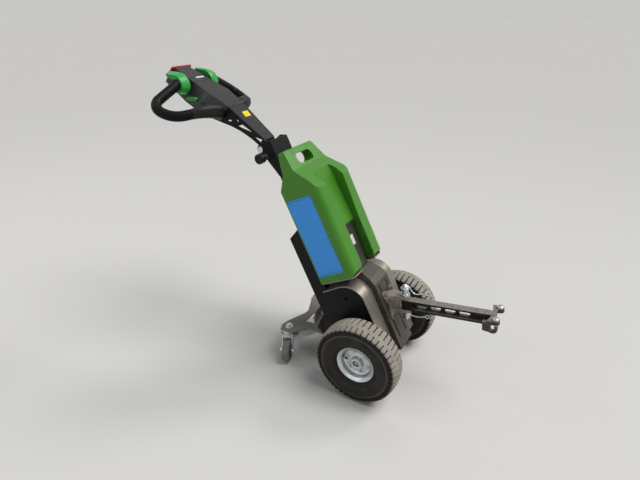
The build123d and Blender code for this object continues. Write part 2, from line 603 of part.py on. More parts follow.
# Castors: swivel pin and cap on the plate, fork with its axle, and wheel
CROWN_TOP = CASTOR_TOP - 11.5
CROWN_LOW = CASTOR_TOP - 20.0
LEG_INNER = CASTOR_WHEEL_WIDTH / 2 + 3.0
LEG_SHEET = 2.5
CASTOR_AXLE_RADIUS = 4.0
RACE_RADIUS = 35.5
RACE_HEIGHT = 4.0
NECK_RADIUS = 26.0
castor_table = (  # name, side, heading of the trailing wheel in degrees
    ("right", -1, -71.0),
    ("left", 1, -68.0),
)
for name, way, heading in castor_table:
    pin_x = AXLE_X + CASTOR_X
    pin_y = way * CASTOR_Y
    ahead = Vector(cos(radians(heading)), sin(radians(heading)), 0)
    aside = ahead.cross(Vector(0, 0, 1))
    fork_side = Plane(origin=(pin_x, pin_y, 0), x_dir=ahead, z_dir=aside)
    with BuildPart() as castor_pin:
        with BuildSketch(Plane(origin=(pin_x, pin_y, CROWN_LOW - 1))):
            Circle(CASTOR_PIN_RADIUS)
        extrude(amount=CASTOR_TOP + CASTOR_PLATE_SHEET + 11 - CROWN_LOW)
        with BuildSketch(Plane(origin=(pin_x, pin_y, CROWN_TOP + 1))):
            Circle(NECK_RADIUS)
        extrude(amount=CASTOR_TOP - CROWN_TOP - 1)
        with BuildSketch(Plane(origin=(pin_x, pin_y, CROWN_TOP + 1))):
            Circle(RACE_RADIUS)
        extrude(amount=RACE_HEIGHT)
        with BuildSketch(Plane(origin=(pin_x, pin_y, CASTOR_TOP + CASTOR_PLATE_SHEET))):
            Circle(13)
        extrude(amount=1.5)
        with BuildSketch(Plane(origin=(pin_x, pin_y, CASTOR_TOP + CASTOR_PLATE_SHEET))):
            RegularPolygon(9.5, 6)
        extrude(amount=9)
    keep(castor_pin.part, f"castor_pin_{name}")
    with BuildPart() as castor_fork:
        with BuildSketch(Plane(origin=(pin_x, pin_y, CROWN_LOW), x_dir=ahead)):
            Circle(RACE_RADIUS - 1.5)
            with Locations((14, 0)):
                Rectangle(28, 2 * (LEG_INNER + LEG_SHEET))
        extrude(amount=CROWN_TOP - CROWN_LOW)
        with BuildSketch(fork_side):
            with BuildLine():
                Polyline((-20, CROWN_LOW + 4), (28, CROWN_LOW + 4),
                         (CASTOR_TRAIL + 8, CASTOR_WHEEL_RADIUS + 4),
                         (CASTOR_TRAIL + 5, CASTOR_WHEEL_RADIUS - 8),
                         (CASTOR_TRAIL - 5, CASTOR_WHEEL_RADIUS - 8),
                         (CASTOR_TRAIL - 9, CASTOR_WHEEL_RADIUS), close=True)
            make_face()
        extrude(amount=LEG_INNER + LEG_SHEET, both=True)
        with BuildSketch(fork_side):
            with BuildLine():
                Polyline((-30, CROWN_LOW), (60, CROWN_LOW), (60, 0), (-30, 0), close=True)
            make_face()
        extrude(amount=LEG_INNER, both=True, mode=Mode.SUBTRACT)
        with BuildSketch(Plane(origin=(pin_x, pin_y, CROWN_LOW - 1))):
            Circle(CASTOR_PIN_RADIUS + RUNNING)
        extrude(amount=30, mode=Mode.SUBTRACT)
        with BuildSketch(fork_side):
            with Locations((CASTOR_TRAIL, CASTOR_WHEEL_RADIUS)):
                Circle(CASTOR_AXLE_RADIUS)
        extrude(amount=LEG_INNER + LEG_SHEET + 6, both=True)
        for end in (-1, 1):
            with BuildSketch(fork_side.offset(end * (LEG_INNER + LEG_SHEET))):
                with Locations((CASTOR_TRAIL, CASTOR_WHEEL_RADIUS)):
                    RegularPolygon(7.5, 6)
            extrude(amount=end * 5)
    keep(castor_fork.part, f"castor_fork_{name}")
    hub = fork_side.from_local_coords(Vector(CASTOR_TRAIL, CASTOR_WHEEL_RADIUS, 0))
    section = Plane(origin=hub, x_dir=aside, z_dir=ahead * -1)
    half = CASTOR_WHEEL_WIDTH / 2
    with BuildPart() as castor_tyre:
        with BuildSketch(section):
            with BuildLine():
                Polyline((0, 29), (half - 1, 29), (half, 31), (half, CASTOR_WHEEL_RADIUS - 5))
                ThreePointArc((half, CASTOR_WHEEL_RADIUS - 5), (half - 2, CASTOR_WHEEL_RADIUS - 1.8),
                              (half - 6, CASTOR_WHEEL_RADIUS))
                Line((half - 6, CASTOR_WHEEL_RADIUS), (0, CASTOR_WHEEL_RADIUS))
                mirror(about=Plane.YZ)
            make_face()
        revolve(axis=Axis(hub, aside))
    keep(castor_tyre.part, f"castor_tyre_{name}")
    with BuildPart() as castor_core:
        with BuildSketch(section):
            with BuildLine():
                Polyline((-half - 1.5, CASTOR_AXLE_RADIUS + RUNNING),
                         (half + 1.5, CASTOR_AXLE_RADIUS + RUNNING), (half + 1.5, 12),
                         (half - 3, 14), (half - 3, 24), (half - 1, 28.7), (1 - half, 28.7), (3 - half, 24),
                         (3 - half, 14), (-half - 1.5, 12), close=True)
            make_face()
        revolve(axis=Axis(hub, aside))
    keep(castor_core.part, f"castor_core_{name}")

# Coupling bracket: a cast foot with four lugs on the slots, a waisted neck and two ears
LUG_HIGH = 257.0
LUG_LOW = 177.0
LUG_RADIUS = 10.0
FOOT_THICK = 8.0
EAR_THICK = 12.0
EAR_GAP = BAR_HEIGHT + 1.4
EAR_RADIUS = 15.0
EAR_BACK = -70.0
FOOT_FACE = PLATE_FRONT + SEAT
with BuildPart() as coupling_bracket:
    for way in (-1, 1):
        with BuildSketch(tow.offset(way * (EAR_GAP / 2) + (-EAR_THICK if way < 0 else 0))):
            with BuildLine():
                Polyline((0, -EAR_RADIUS), (0, EAR_RADIUS), (-30, 18), (EAR_BACK, 34), (EAR_BACK, -34),
                         (-30, -18), close=True)
            make_face()
            Circle(EAR_RADIUS)
        extrude(amount=EAR_THICK)
    with BuildSketch(tow.offset(-EAR_GAP / 2)):
        with BuildLine():
            Polyline((-21, -9), (-21, 9), (EAR_BACK, 24), (EAR_BACK, -24), close=True)
        make_face()
    extrude(amount=EAR_GAP)
    with BuildSketch(facing(FOOT_FACE + 0.5)):
        Rectangle(300, 900)
    extrude(amount=-100, mode=Mode.SUBTRACT)
    with BuildSketch(facing(FOOT_FACE)):
        with BuildLine():
            Polyline((-SLOT_Y, LUG_HIGH + 6), (0, 240), (SLOT_Y, LUG_HIGH + 6), (34, LUG_HIGH - 8),
                     (20, 217), (34, LUG_LOW + 6),
                     (SLOT_Y, LUG_LOW - 7), (0, 192), (-SLOT_Y, LUG_LOW - 7), (-34, LUG_LOW + 6),
                     (-20, 217), (-34, LUG_HIGH - 8), close=True)
        make_face()
        with Locations(*[(across_y, up) for across_y in (-SLOT_Y, SLOT_Y) for up in (LUG_LOW, LUG_HIGH)]):
            Circle(LUG_RADIUS)
    extrude(amount=FOOT_THICK)
    with BuildSketch(facing(FOOT_FACE)):
        with Locations(*[(across_y, up) for across_y in (-SLOT_Y, SLOT_Y) for up in (LUG_LOW, LUG_HIGH)]):
            Circle(SLOT_WIDTH / 2)
    extrude(amount=FOOT_THICK, mode=Mode.SUBTRACT)
    with BuildSketch(facing(FOOT_FACE + FOOT_THICK)):
        with Locations(*[(across_y, up) for across_y in (-SLOT_Y, SLOT_Y) for up in (LUG_LOW, LUG_HIGH)]):
            Circle(9)
    extrude(amount=40, mode=Mode.SUBTRACT)
    with BuildSketch(tow.offset(-60)):
        Circle(PIN_RADIUS + RUNNING)
    extrude(amount=120, mode=Mode.SUBTRACT)
keep(coupling_bracket.part, "coupling_bracket")

with BuildPart() as coupling_bolts:
    with BuildSketch(facing(FOOT_FACE + FOOT_THICK)):
        with Locations(*[(across_y, up) for across_y in (-SLOT_Y, SLOT_Y) for up in (LUG_LOW, LUG_HIGH)]):
            RegularPolygon(7.5, 6)
    extrude(amount=5)
    with BuildSketch(facing(PLATE_FRONT - PLATE_SHEET - 6)):
        with Locations(*[(across_y, up) for across_y in (-SLOT_Y, SLOT_Y) for up in (LUG_LOW, LUG_HIGH)]):
            Circle(SLOT_WIDTH / 2 - RUNNING)
    extrude(amount=FOOT_THICK + PLATE_SHEET + 7)
keep(coupling_bolts.part, "coupling_bolts")

# Drawbar: a forged bar of I section with oval holes, turning on its pin
FLANGE = 6.0
WEB = 5.0
HOLE_PITCH = 43.9
HOLE_LENGTH = 32.0
HOLE_HEIGHT = 17.0
FIRST_HOLE = 53.0
HOLE_COUNT = 4
RECESS_START = 24.0
BAR_END = JAW_REACH - 28.0
RECESS_END = BAR_END - 19.0
with BuildPart() as drawbar:
    with BuildSketch(tow.offset(-BAR_HEIGHT / 2)):
        with Locations((BAR_END / 2, 0)):
            Rectangle(BAR_END, BAR_WIDTH)
        Circle(BAR_WIDTH / 2)
    extrude(amount=BAR_HEIGHT)
    for way in (-1, 1):
        with BuildSketch(tow_side.offset(way * BAR_WIDTH / 2)):
            with Locations(((RECESS_START + RECESS_END) / 2, 0)):
                RectangleRounded(RECESS_END - RECESS_START, BAR_HEIGHT - 2 * FLANGE, 5)
        extrude(amount=-way * (BAR_WIDTH - WEB) / 2, mode=Mode.SUBTRACT)
    with BuildSketch(tow_side):
        with Locations(*[(FIRST_HOLE + HOLE_PITCH * count, 0) for count in range(HOLE_COUNT)]):
            SlotOverall(HOLE_LENGTH, HOLE_HEIGHT)
    extrude(amount=BAR_WIDTH, both=True, mode=Mode.SUBTRACT)
    with BuildSketch(tow.offset(-BAR_HEIGHT)):
        Circle(PIN_RADIUS)
    extrude(amount=2 * BAR_HEIGHT, mode=Mode.SUBTRACT)
keep(drawbar.part, "drawbar")

EAR_FACE = EAR_GAP / 2 + EAR_THICK + SEAT
pin_table = (  # from, to, radius: nut below, then ring, sleeve, collar and cap above
    (-EAR_FACE - 19, -EAR_FACE, 12),
    (EAR_FACE, EAR_FACE + 5, 14.5),
    (EAR_FACE + 5, EAR_FACE + 22, 11.5),
    (EAR_FACE + 22, EAR_FACE + 26, 13.5),
    (EAR_FACE + 26, EAR_FACE + 37, 9),
)
with BuildPart() as drawbar_pin:
    with BuildSketch(tow.offset(-55)):
        Circle(PIN_RADIUS)
    extrude(amount=115)
    for low, high, radius in pin_table:
        with BuildSketch(tow.offset(low)):
            Circle(radius)
        extrude(amount=high - low)
    chamfer(drawbar_pin.edges().group_by(Axis.Z)[-1], 5)
keep(drawbar_pin.part, "drawbar_pin")

# End jaw with its two bolts, and the hook that hangs below it
JAW_Y = 35.0
JAW_BOSS = 12.0
JAW_HALF = JAW_Y + JAW_BOSS
JAW_THICK = 12.0
JAW_BOLT_RADIUS = 5.5
with BuildPart() as end_jaw:
    with BuildSketch(tow.offset(JAW_BOTTOM)):
        with BuildLine():
            Polyline((BAR_END + SEAT, -18), (BAR_END + SEAT, 18), (BAR_END - 6, JAW_HALF),
                     (JAW_REACH - JAW_BOSS, JAW_HALF),
                     (JAW_REACH - JAW_BOSS, JAW_Y - JAW_BOSS), (BAR_END + 12, JAW_Y - JAW_BOSS),
                     (BAR_END + 12, JAW_BOSS - JAW_Y),
                     (JAW_REACH - JAW_BOSS, JAW_BOSS - JAW_Y), (JAW_REACH - JAW_BOSS, -JAW_HALF),
                     (BAR_END - 6, -JAW_HALF), close=True)
        make_face()
        with Locations(*[(JAW_REACH - JAW_BOSS, way * JAW_Y) for way in (-1, 1)]):
            Circle(JAW_BOSS)
            Circle(JAW_BOLT_RADIUS, mode=Mode.SUBTRACT)
    extrude(amount=JAW_THICK)
keep(end_jaw.part, "end_jaw")

with BuildPart() as jaw_bolts:
    for way in (-1, 1):
        with BuildSketch(tow.offset(JAW_BOTTOM - 4)):
            with Locations((JAW_REACH - JAW_BOSS, way * JAW_Y)):
                Circle(JAW_BOLT_RADIUS)
        extrude(amount=JAW_THICK + 6)
        with BuildSketch(tow.offset(JAW_BOTTOM + JAW_THICK)):
            with Locations((JAW_REACH - JAW_BOSS, way * JAW_Y)):
                Circle(JAW_BOSS - 2.5)
        extrude(amount=7)
    chamfer(jaw_bolts.edges().group_by(Axis.Z)[-1], 3)
keep(jaw_bolts.part, "jaw_bolts")

HOOK_Y = 23.0
HOOK_BACK = BAR_END - 20.0
with BuildPart() as hook:
    with BuildSketch(tow_side.offset(HOOK_Y)):
        with BuildLine():
            Polyline((HOOK_BACK, JAW_BOTTOM - SEAT), (HOOK_BACK + 22, JAW_BOTTOM - SEAT),
                     (HOOK_BACK + 22, -8), (HOOK_BACK + 24, -8),
                     (HOOK_BACK + 24, -27), (HOOK_BACK, -23), close=True)
        make_face()
        with Locations((HOOK_BACK + 28, -14.5)):
            Circle(14)
            Circle(7, mode=Mode.SUBTRACT)
        with BuildLine():
            Polyline((HOOK_BACK + 22, -9), (HOOK_BACK + 22, 5), (HOOK_BACK + 38, 5), (HOOK_BACK + 33, -9),
                     close=True)
        make_face(mode=Mode.SUBTRACT)
    extrude(amount=14)
keep(hook.part, "tow_hook")

# Tiller arm: two truss side plates under a tapering cover, joined at the pivot by a sleeve
TRUSS_SHEET = 4.0


def arm_half(along):
    """Half the arm's width at a distance from its pivot."""
    return ARM_ROOT_HALF + (ARM_HEAD_HALF - ARM_ROOT_HALF) * (along - 16) / (ARM_LENGTH - 16)


arm_plan = Plane(origin=arm.origin, x_dir=arm.x_dir, z_dir=(ARM_SIN, 0, ARM_COS))
with BuildPart() as truss:
    with BuildSketch(arm):
        with BuildLine():
            ThreePointArc((-4, -12), (0.44 * ARM_LENGTH, -12.5), (ARM_LENGTH - 9, -38))
            Polyline((ARM_LENGTH - 9, -38), (HEAD_START, -42), (HEAD_START, ARM_TOP - 3 - SEAT),
                     (12, ARM_TOP - 3 - SEAT), (-4, -12))
        make_face()
        Circle(13)
        with BuildLine():
            Polyline((0.67 * ARM_LENGTH, -10), (0.61 * ARM_LENGTH, 7), (0.33 * ARM_LENGTH, 11), close=True)
        make_face(mode=Mode.SUBTRACT)
        with BuildLine():
            Polyline((52, 2), (22, 14.5), (22, 2), close=True)
        make_face(mode=Mode.SUBTRACT)
        with BuildLine():
            Polyline((ARM_LENGTH - 18, -22), (ARM_LENGTH - 20, -10), (ARM_LENGTH - 32, -9), close=True)
        make_face(mode=Mode.SUBTRACT)
        with Locations((ARM_LENGTH - 46, 5)):
            Circle(3.5, mode=Mode.SUBTRACT)
    extrude(amount=60, both=True)
    with BuildSketch(arm_plan.offset(-100)):
        for way in (-1, 1):
            with BuildLine():
                Polyline((-20, way * arm_half(-20)), (180, way * arm_half(180)),
                         (180, way * (arm_half(180) - TRUSS_SHEET)),
                         (-20, way * (arm_half(-20) - TRUSS_SHEET)), close=True)
            make_face()
    extrude(amount=200, mode=Mode.INTERSECT)
    with BuildSketch(arm):
        Circle(13)
    extrude(amount=arm_half(0) - 1, both=True)
    with BuildSketch(arm):
        Circle(PIVOT_BOLT_RADIUS + RUNNING)
    extrude(amount=60, both=True, mode=Mode.SUBTRACT)
keep(truss.part, "arm_truss")

with BuildPart() as arm_cover:
    with BuildSketch(arm_plan.offset(ARM_TOP - 3)):
        with BuildLine():
            Polyline((14, arm_half(14)), (ARM_LENGTH, arm_half(ARM_LENGTH)),
                     (ARM_LENGTH, -arm_half(ARM_LENGTH)), (14, -arm_half(14)), close=True)
        make_face()
    extrude(amount=3)
keep(arm_cover.part, "arm_cover")

# Tiller head: a faceted console over a base, both lofted through the same stations
# Stations: share of the length, then half-width and height of the top, of the seam and of the base
head_table = (
    (1.0, 31, -22, 50, -72, 40, -84),
    (0.7, 39, -7, 51, -66, 44, -80),
    (0.6, 41, -1, 52, -59, 46, -79),
    (0.304, 49, 14, 73, -19, 50, -66),
    (0.167, 42, 18.5, 60, -5, 42, -58),
    (0.0, 38, 22, 42, 8, 34, -44),
)
arm_section = Plane(origin=arm.origin, x_dir=(0, -1, 0), z_dir=arm.x_dir)
with BuildPart() as console:
    for share, top_half, top_up, seam_half, seam_up, base_half, base_up in head_table:
        with BuildSketch(arm_section.offset(HEAD_START + share * HEAD_LENGTH)):
            with BuildLine():
                Polyline((-seam_half, seam_up), (-top_half, top_up), (top_half, top_up),
                         (seam_half, seam_up), close=True)
            make_face()
    loft(ruled=True)
keep(console.part, "head_console")

with BuildPart() as head_base:
    for share, top_half, top_up, seam_half, seam_up, base_half, base_up in head_table:
        with BuildSketch(arm_section.offset(HEAD_START + share * HEAD_LENGTH)):
            with BuildLine():
                Polyline((-seam_half + 1, seam_up - SEAT), (seam_half - 1, seam_up - SEAT),
                         (base_half, base_up), (-base_half, base_up), close=True)
            make_face()
    loft(ruled=True)

# Loops: a tube that leaves the collar, turns twice, and comes back as a thicker arm of the base
LOOP_RADIUS = 16.0
loop_origin = arm.from_local_coords(Vector(HEAD_START + 169.4, -25.1, -85))
loop_out = Vector(-0.064, -0.904, -0.426).normalized()
loop_plane = Plane(origin=loop_origin, x_dir=loop_out, z_dir=loop_out.cross(Vector(0.912, 0.122, -0.395)))
with BuildPart() as loop:
    with BuildLine(loop_plane) as loop_path:
        FilletPolyline((-34, 0), (122, 0), (122, 77.7), (70.6, 113.4), radius=(36, 76))
    with BuildSketch(Plane(origin=loop_path.line @ 0, z_dir=loop_path.line % 0)):
        Circle(LOOP_RADIUS)
    sweep()
loop_end = loop_path.line @ 1
loop_way = (loop_path.line % 1).normalized()
keep_pair(loop.part, "handle_loop")

arm_root = arm.from_local_coords(Vector(HEAD_START + 18.6, -18.7, -36))
with BuildPart() as base_arm:
    with BuildSketch(Plane(origin=loop_end + loop_way * SEAT, x_dir=loop_way.cross(Vector(0, 0, 1)),
                           z_dir=loop_way)):
        RectangleRounded(2 * LOOP_RADIUS, 2 * LOOP_RADIUS, LOOP_RADIUS - 0.1)
    with BuildSketch(Plane(origin=loop_end + loop_way * 40, x_dir=(0.86, -0.5, 0), z_dir=(0.5, 0.86, 0))):
        RectangleRounded(38, 39, 15)
    with BuildSketch(Plane(origin=arm_root, x_dir=(1, -0.1, 0), z_dir=(0.1, 1, -0.2))):
        RectangleRounded(50, 46, 13)
    loft()
    with BuildSketch(Plane(origin=loop_end + loop_way * SEAT, z_dir=loop_way)):
        Circle(2 * LOOP_RADIUS)
    extrude(amount=-2 * LOOP_RADIUS, mode=Mode.SUBTRACT)
base_arm_left = mirror(base_arm.part, about=Plane.XZ)
with BuildPart() as head_base_whole:
    add(head_base.part)
    add(base_arm.part)
    add(base_arm_left)
    add(console.part, mode=Mode.SUBTRACT)
    with BuildSketch(arm_plan):
        with Locations((HEAD_START - 15, 0)):
            Rectangle(30, 100)
    extrude(amount=100, both=True, mode=Mode.SUBTRACT)
keep(head_base_whole.part, "head_base")

# Throttle collars: bands round the loops' roots, open to the rear, each with a tip for the thumb
COLLAR_INNER = 52.5
COLLAR_OUTER = 86.0
collar_middle = arm.from_local_coords(Vector(HEAD_START + 171.1, -22.7, -COLLAR_INNER))
collar_plane = Plane(origin=collar_middle, x_dir=(1, 0, 0), z_dir=(0, -1, 0))
collar_table = (  # distance outward, share of the full outline
    (0, 0.9),
    (9, 1.0),
    (COLLAR_OUTER - COLLAR_INNER, 0.8),
)
with BuildPart() as collar:
    for outward, share in collar_table:
        with BuildSketch(collar_plane.offset(outward)):
            with BuildLine():
                Polyline((-26 * share, -35 * share), (-20 * share, -19 * share), (-3 * share, -14 * share),
                         (-3 * share, 14 * share),
                         (-24 * share, 15 * share), (-54 * share, 26 * share), (-54 * share, 34 * share),
                         (-16 * share, 33 * share))
                ThreePointArc((-16 * share, 33 * share), (14 * share, 22 * share), (29 * share, -8 * share))
                ThreePointArc((29 * share, -8 * share), (22 * share, -28 * share), (4 * share, -37 * share))
                Line((4 * share, -37 * share), (-26 * share, -35 * share))
            make_face()
    loft(ruled=True)
    add(console.part, mode=Mode.SUBTRACT)
    add(head_base_whole.part, mode=Mode.SUBTRACT)
    add(loop.part, mode=Mode.SUBTRACT)
keep_pair(collar.part, "throttle_collar")

# Belly switch: a thin curved lip behind the head
BELLY_HALF = 46.0
with BuildPart() as belly_switch:
    with BuildSketch(arm):
        with BuildLine():
            Polyline(
                (HEAD_END + SEAT, -24), (HEAD_END + 4, -20), (HEAD_END + 14, -33), (BELLY_END, BELLY_CORNER),
                (HEAD_END + 11, -66), (HEAD_END + SEAT, -81), close=True,
            )
        make_face()
    extrude(amount=BELLY_HALF, both=True)
    with BuildSketch(arm_plan.offset(-100)):
        with BuildLine():
            Polyline((HEAD_END + 2, BELLY_HALF), (HEAD_START, BELLY_HALF), (HEAD_START, -BELLY_HALF),
                     (HEAD_END + 2, -BELLY_HALF))
            ThreePointArc((HEAD_END + 2, -BELLY_HALF), (BELLY_END, 0), (HEAD_END + 2, BELLY_HALF))
        make_face()
    extrude(amount=200, mode=Mode.INTERSECT)
keep(belly_switch.part, "belly_switch")

with BuildPart() as thumb_button:
    with BuildSketch(Plane(origin=arm.origin + Vector(0, -50, 0), x_dir=arm.x_dir, z_dir=(0, -1, 0))):
        with Locations((HEAD_START + 113, 38)):
            SlotOverall(42, 10, rotation=38)
    extrude(amount=21)
    add(console.part, mode=Mode.SUBTRACT)
    add(head_base_whole.part, mode=Mode.SUBTRACT)
keep_pair(thumb_button.part, "thumb_button")
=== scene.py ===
# %% [markdown]
# A walk-behind tow tractor: a leaning body on two driven wheels, with a lift-off battery pack,
# a clamped tiller and a towing bar. The solid pieces come ready made, at real size and in metres,
# with the floor at height zero. This lesson gives them their finishes and adds what is too fine
# for the solids: tyre treads, labels, retaining wires and small fasteners.

# %% Load the tug's solid pieces
import json
import math

import bpy
import numpy as np
from mathutils import Matrix, Vector


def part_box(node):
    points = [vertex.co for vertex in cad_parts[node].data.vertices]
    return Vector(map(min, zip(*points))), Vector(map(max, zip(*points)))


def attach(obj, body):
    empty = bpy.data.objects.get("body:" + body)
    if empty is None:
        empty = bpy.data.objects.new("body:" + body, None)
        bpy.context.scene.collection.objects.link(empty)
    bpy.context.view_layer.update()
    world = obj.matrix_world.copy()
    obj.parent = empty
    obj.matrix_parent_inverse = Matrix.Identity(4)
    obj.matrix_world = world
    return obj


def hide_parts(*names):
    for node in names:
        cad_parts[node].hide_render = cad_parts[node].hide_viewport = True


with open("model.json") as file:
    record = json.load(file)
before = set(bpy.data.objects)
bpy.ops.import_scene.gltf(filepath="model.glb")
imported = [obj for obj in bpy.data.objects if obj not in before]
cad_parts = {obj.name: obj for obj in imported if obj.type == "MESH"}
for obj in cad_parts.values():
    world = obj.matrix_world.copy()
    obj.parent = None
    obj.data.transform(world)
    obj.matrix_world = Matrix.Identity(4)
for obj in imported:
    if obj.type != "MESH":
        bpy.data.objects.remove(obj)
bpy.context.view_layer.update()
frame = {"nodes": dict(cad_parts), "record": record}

# %% [markdown]
# Places are written in millimetres from the point on the floor below the drive axle: x forwards,
# y to the left and z up. The body and its mast lean back 27 degrees, so a label on them is easiest
# to place along the mast. These two functions turn such a place into metres in the common frame.

# %% Rulers on the floor and along the mast
AXLE_X = 220.7296
LEAN = math.radians(27.0)


def millimetres(x, y, z):
    """Stacks three lists of millimetres, measured from the axle, as rows of metres."""
    x, y, z = np.broadcast_arrays(np.asarray(x, float) + AXLE_X, y, z)
    return np.stack([x, y, z], axis=-1) / 1000.0


def on_body(ahead, y, up):
    """Ahead of the mast and up along it: x = ahead cos a - up sin a, z = ahead sin a + up cos a."""
    ahead, up = np.asarray(ahead, float), np.asarray(up, float)
    c, s = math.cos(LEAN), math.sin(LEAN)
    return millimetres(ahead * c - up * s, y, ahead * s + up * c)


print("a point 800 mm up the mast is at", on_body(0, 0, 800).round(4), "m")

# %% [markdown]
# The camera comes first, because every later choice is judged through it. It looks down at the
# tug from the front right, from just above the tiller's height, through a fairly wide lens.
# A camera's own axes are its right, its up and the reverse of its view.

# %% Camera
LENS_MM = 26.44
TURN, DIP, ROLL = math.radians(29.447), math.radians(26.12), math.radians(0.241)
EYE = Vector((0.67643, -1.2256, 1.1070))

camera_data = bpy.data.cameras.new("eye_level_camera")
camera_data.sensor_width = 36.0
camera_data.lens = LENS_MM
camera = bpy.data.objects.new("eye_level_camera", camera_data)
bpy.context.scene.collection.objects.link(camera)
level_ahead = Vector((-math.sin(TURN), math.cos(TURN), 0))
level_right = Vector((math.cos(TURN), math.sin(TURN), 0))
view_line = level_ahead * math.cos(DIP) - Vector((0, 0, 1)) * math.sin(DIP)
view_up = level_ahead * math.sin(DIP) + Vector((0, 0, 1)) * math.cos(DIP)
right = level_right * math.cos(ROLL) + view_up * math.sin(ROLL)
upward = view_up * math.cos(ROLL) - level_right * math.sin(ROLL)
pose = Matrix((right, upward, -view_line)).transposed().to_4x4()
pose.translation = EYE
camera.matrix_world = pose
bpy.context.scene.camera = camera
print("camera height", round(EYE.z, 3), "m")

# %% [markdown]
# A studio floor is one plain pale sheet, wide enough that its far edge is lost against a backdrop
# of the same brightness. It takes the tug's soft shadow. It is quite matt, because a glossy floor
# would mirror the lamps.

# %% Studio floor
FLOOR_REACH = 90.0

floor_corners = np.array([(-1, -1, 0), (1, -1, 0), (1, 1, 0), (-1, 1, 0)]) * FLOOR_REACH
floor_mesh = bpy.data.meshes.new("studio_floor")
floor_mesh.from_pydata(floor_corners.tolist(), [], [(0, 1, 2, 3)])
floor = bpy.data.objects.new("studio_floor", floor_mesh)
bpy.context.scene.collection.objects.link(floor)
floor_finish = bpy.data.materials.new("pale_studio_floor")
floor_finish.use_nodes = True
floor_shader = floor_finish.node_tree.nodes["Principled BSDF"]
floor_shader.inputs["Base Color"].default_value = (0.62, 0.612, 0.595, 1)
floor_shader.inputs["Roughness"].default_value = 0.9
floor_shader.inputs["Specular IOR Level"].default_value = 0.0
floor_mesh.materials.append(floor_finish)
print("floor of", 2 * FLOOR_REACH, "m a side")

# %% [markdown]
# The world is two backgrounds in one. The pale one is what the camera sees, what metal mirrors and
# what shows through clear parts. The other, dimmer and cooler, lights the scene from all around.
# A ray's own kind picks between them, so a bright backdrop adds no light of its own.

# %% Backdrop and sky
world = bpy.data.worlds.new("studio_air")
bpy.context.scene.world = world
world.use_nodes = True
air = world.node_tree
air.nodes.clear()


def background(colour, strength):
    """A plain background shader."""
    node = air.nodes.new("ShaderNodeBackground")
    node.inputs["Color"].default_value = (*colour, 1)
    node.inputs["Strength"].default_value = strength
    return node.outputs[0]


def either_of(first, second):
    """One where either of two ray kinds is one."""
    node = air.nodes.new("ShaderNodeMath")
    node.operation = "MAXIMUM"
    air.links.new(first, node.inputs[0])
    air.links.new(second, node.inputs[1])
    return node.outputs[0]


seen = background((0.575, 0.568, 0.555), 1.0)
lit = background((0.94, 0.97, 1.0), 0.17)
rays = air.nodes.new("ShaderNodeLightPath").outputs
shown = either_of(either_of(rays["Is Camera Ray"], rays["Is Transmission Ray"]), rays["Is Glossy Ray"])
mixed = air.nodes.new("ShaderNodeMixShader")
for socket, source in zip(mixed.inputs, (shown, lit, seen)):
    air.links.new(source, socket)
air.links.new(mixed.outputs[0], air.nodes.new("ShaderNodeOutputWorld").inputs["Surface"])
bpy.context.scene.view_settings.view_transform = "Standard"
print("backdrop and sky ready")

# %% [markdown]
# Wide, even light falls from high up on the towing bar's side, so tops are brightest, front faces
# come next and the near side is darkest. A sun lamp with a large disc does that and lights the
# floor evenly as far as it goes. A second, narrower one from the far side picks out the bent
# sheets, and a faint cool one opens up the near side. Two long tubes high up add the glints that
# show how glossy a surface is.

# %% Lamps
def aim_lamp(name, kind, place, aim, strength, colour):
    """A lamp of one kind at a place, turned to face its aim."""
    data = bpy.data.lights.new(name, kind)
    data.energy = strength
    data.color = colour
    lamp = bpy.data.objects.new(name, data)
    bpy.context.scene.collection.objects.link(lamp)
    turned_to = (Vector(aim) - Vector(place)).to_track_quat("-Z", "Y").to_matrix().to_4x4()
    lamp.matrix_world = Matrix.Translation(Vector(place)) @ turned_to
    return data


SUNS = {
    "roof_light": ((3.0, 1.0, 5.4), (0.0, 0.0, 0.0), 2.0, (1.0, 0.99, 0.97), 38.0),
    "near_side_light": ((-1.5, -5.0, 2.2), (0.0, 0.0, 0.3), 0.36, (0.96, 0.98, 1.0), 50.0),
    "far_side_light": ((3.0, 4.4, 4.6), (0.0, 0.0, 0.0), 0.95, (1.0, 0.995, 0.98), 16.0),
}
for sun_name, (place, aim, strength, colour, disc_degrees) in SUNS.items():
    aim_lamp(sun_name, "SUN", place, aim, strength, colour).angle = math.radians(disc_degrees)

TUBES = {"tube_over_bar": (1.6, 0.4, 2.9), "tube_over_tiller": (-2.2, -0.9, 2.9)}
TUBE_WATTS, TUBE_WIDTH, TUBE_LENGTH = 14.0, 0.30, 2.8
for tube_name, place in TUBES.items():
    tube = aim_lamp(tube_name, "AREA", place, (0.0, 0.0, 0.3), TUBE_WATTS, (1.0, 1.0, 1.0))
    tube.shape = "RECTANGLE"
    tube.size, tube.size_y = TUBE_WIDTH, TUBE_LENGTH
print("lamps:", [*SUNS, *TUBES])

# %% [markdown]
# Every finish below is a small tree of nodes around one Principled shader. These helpers keep
# the recipes short. Patterns read the Object coordinates, which are metres here, so a scale of
# 400 means detail of about 2.5 mm.

# %% Helpers for patterns
def start_finish(name):
    """A material with one Principled shader, its tree, and its Object coordinates."""
    material = bpy.data.materials.new(name)
    material.use_nodes = True
    tree = material.node_tree
    tree.nodes.clear()
    output = tree.nodes.new("ShaderNodeOutputMaterial")
    shader = tree.nodes.new("ShaderNodeBsdfPrincipled")
    tree.links.new(shader.outputs["BSDF"], output.inputs["Surface"])
    coordinates = tree.nodes.new("ShaderNodeTexCoord").outputs["Object"]
    return material, tree, shader, coordinates


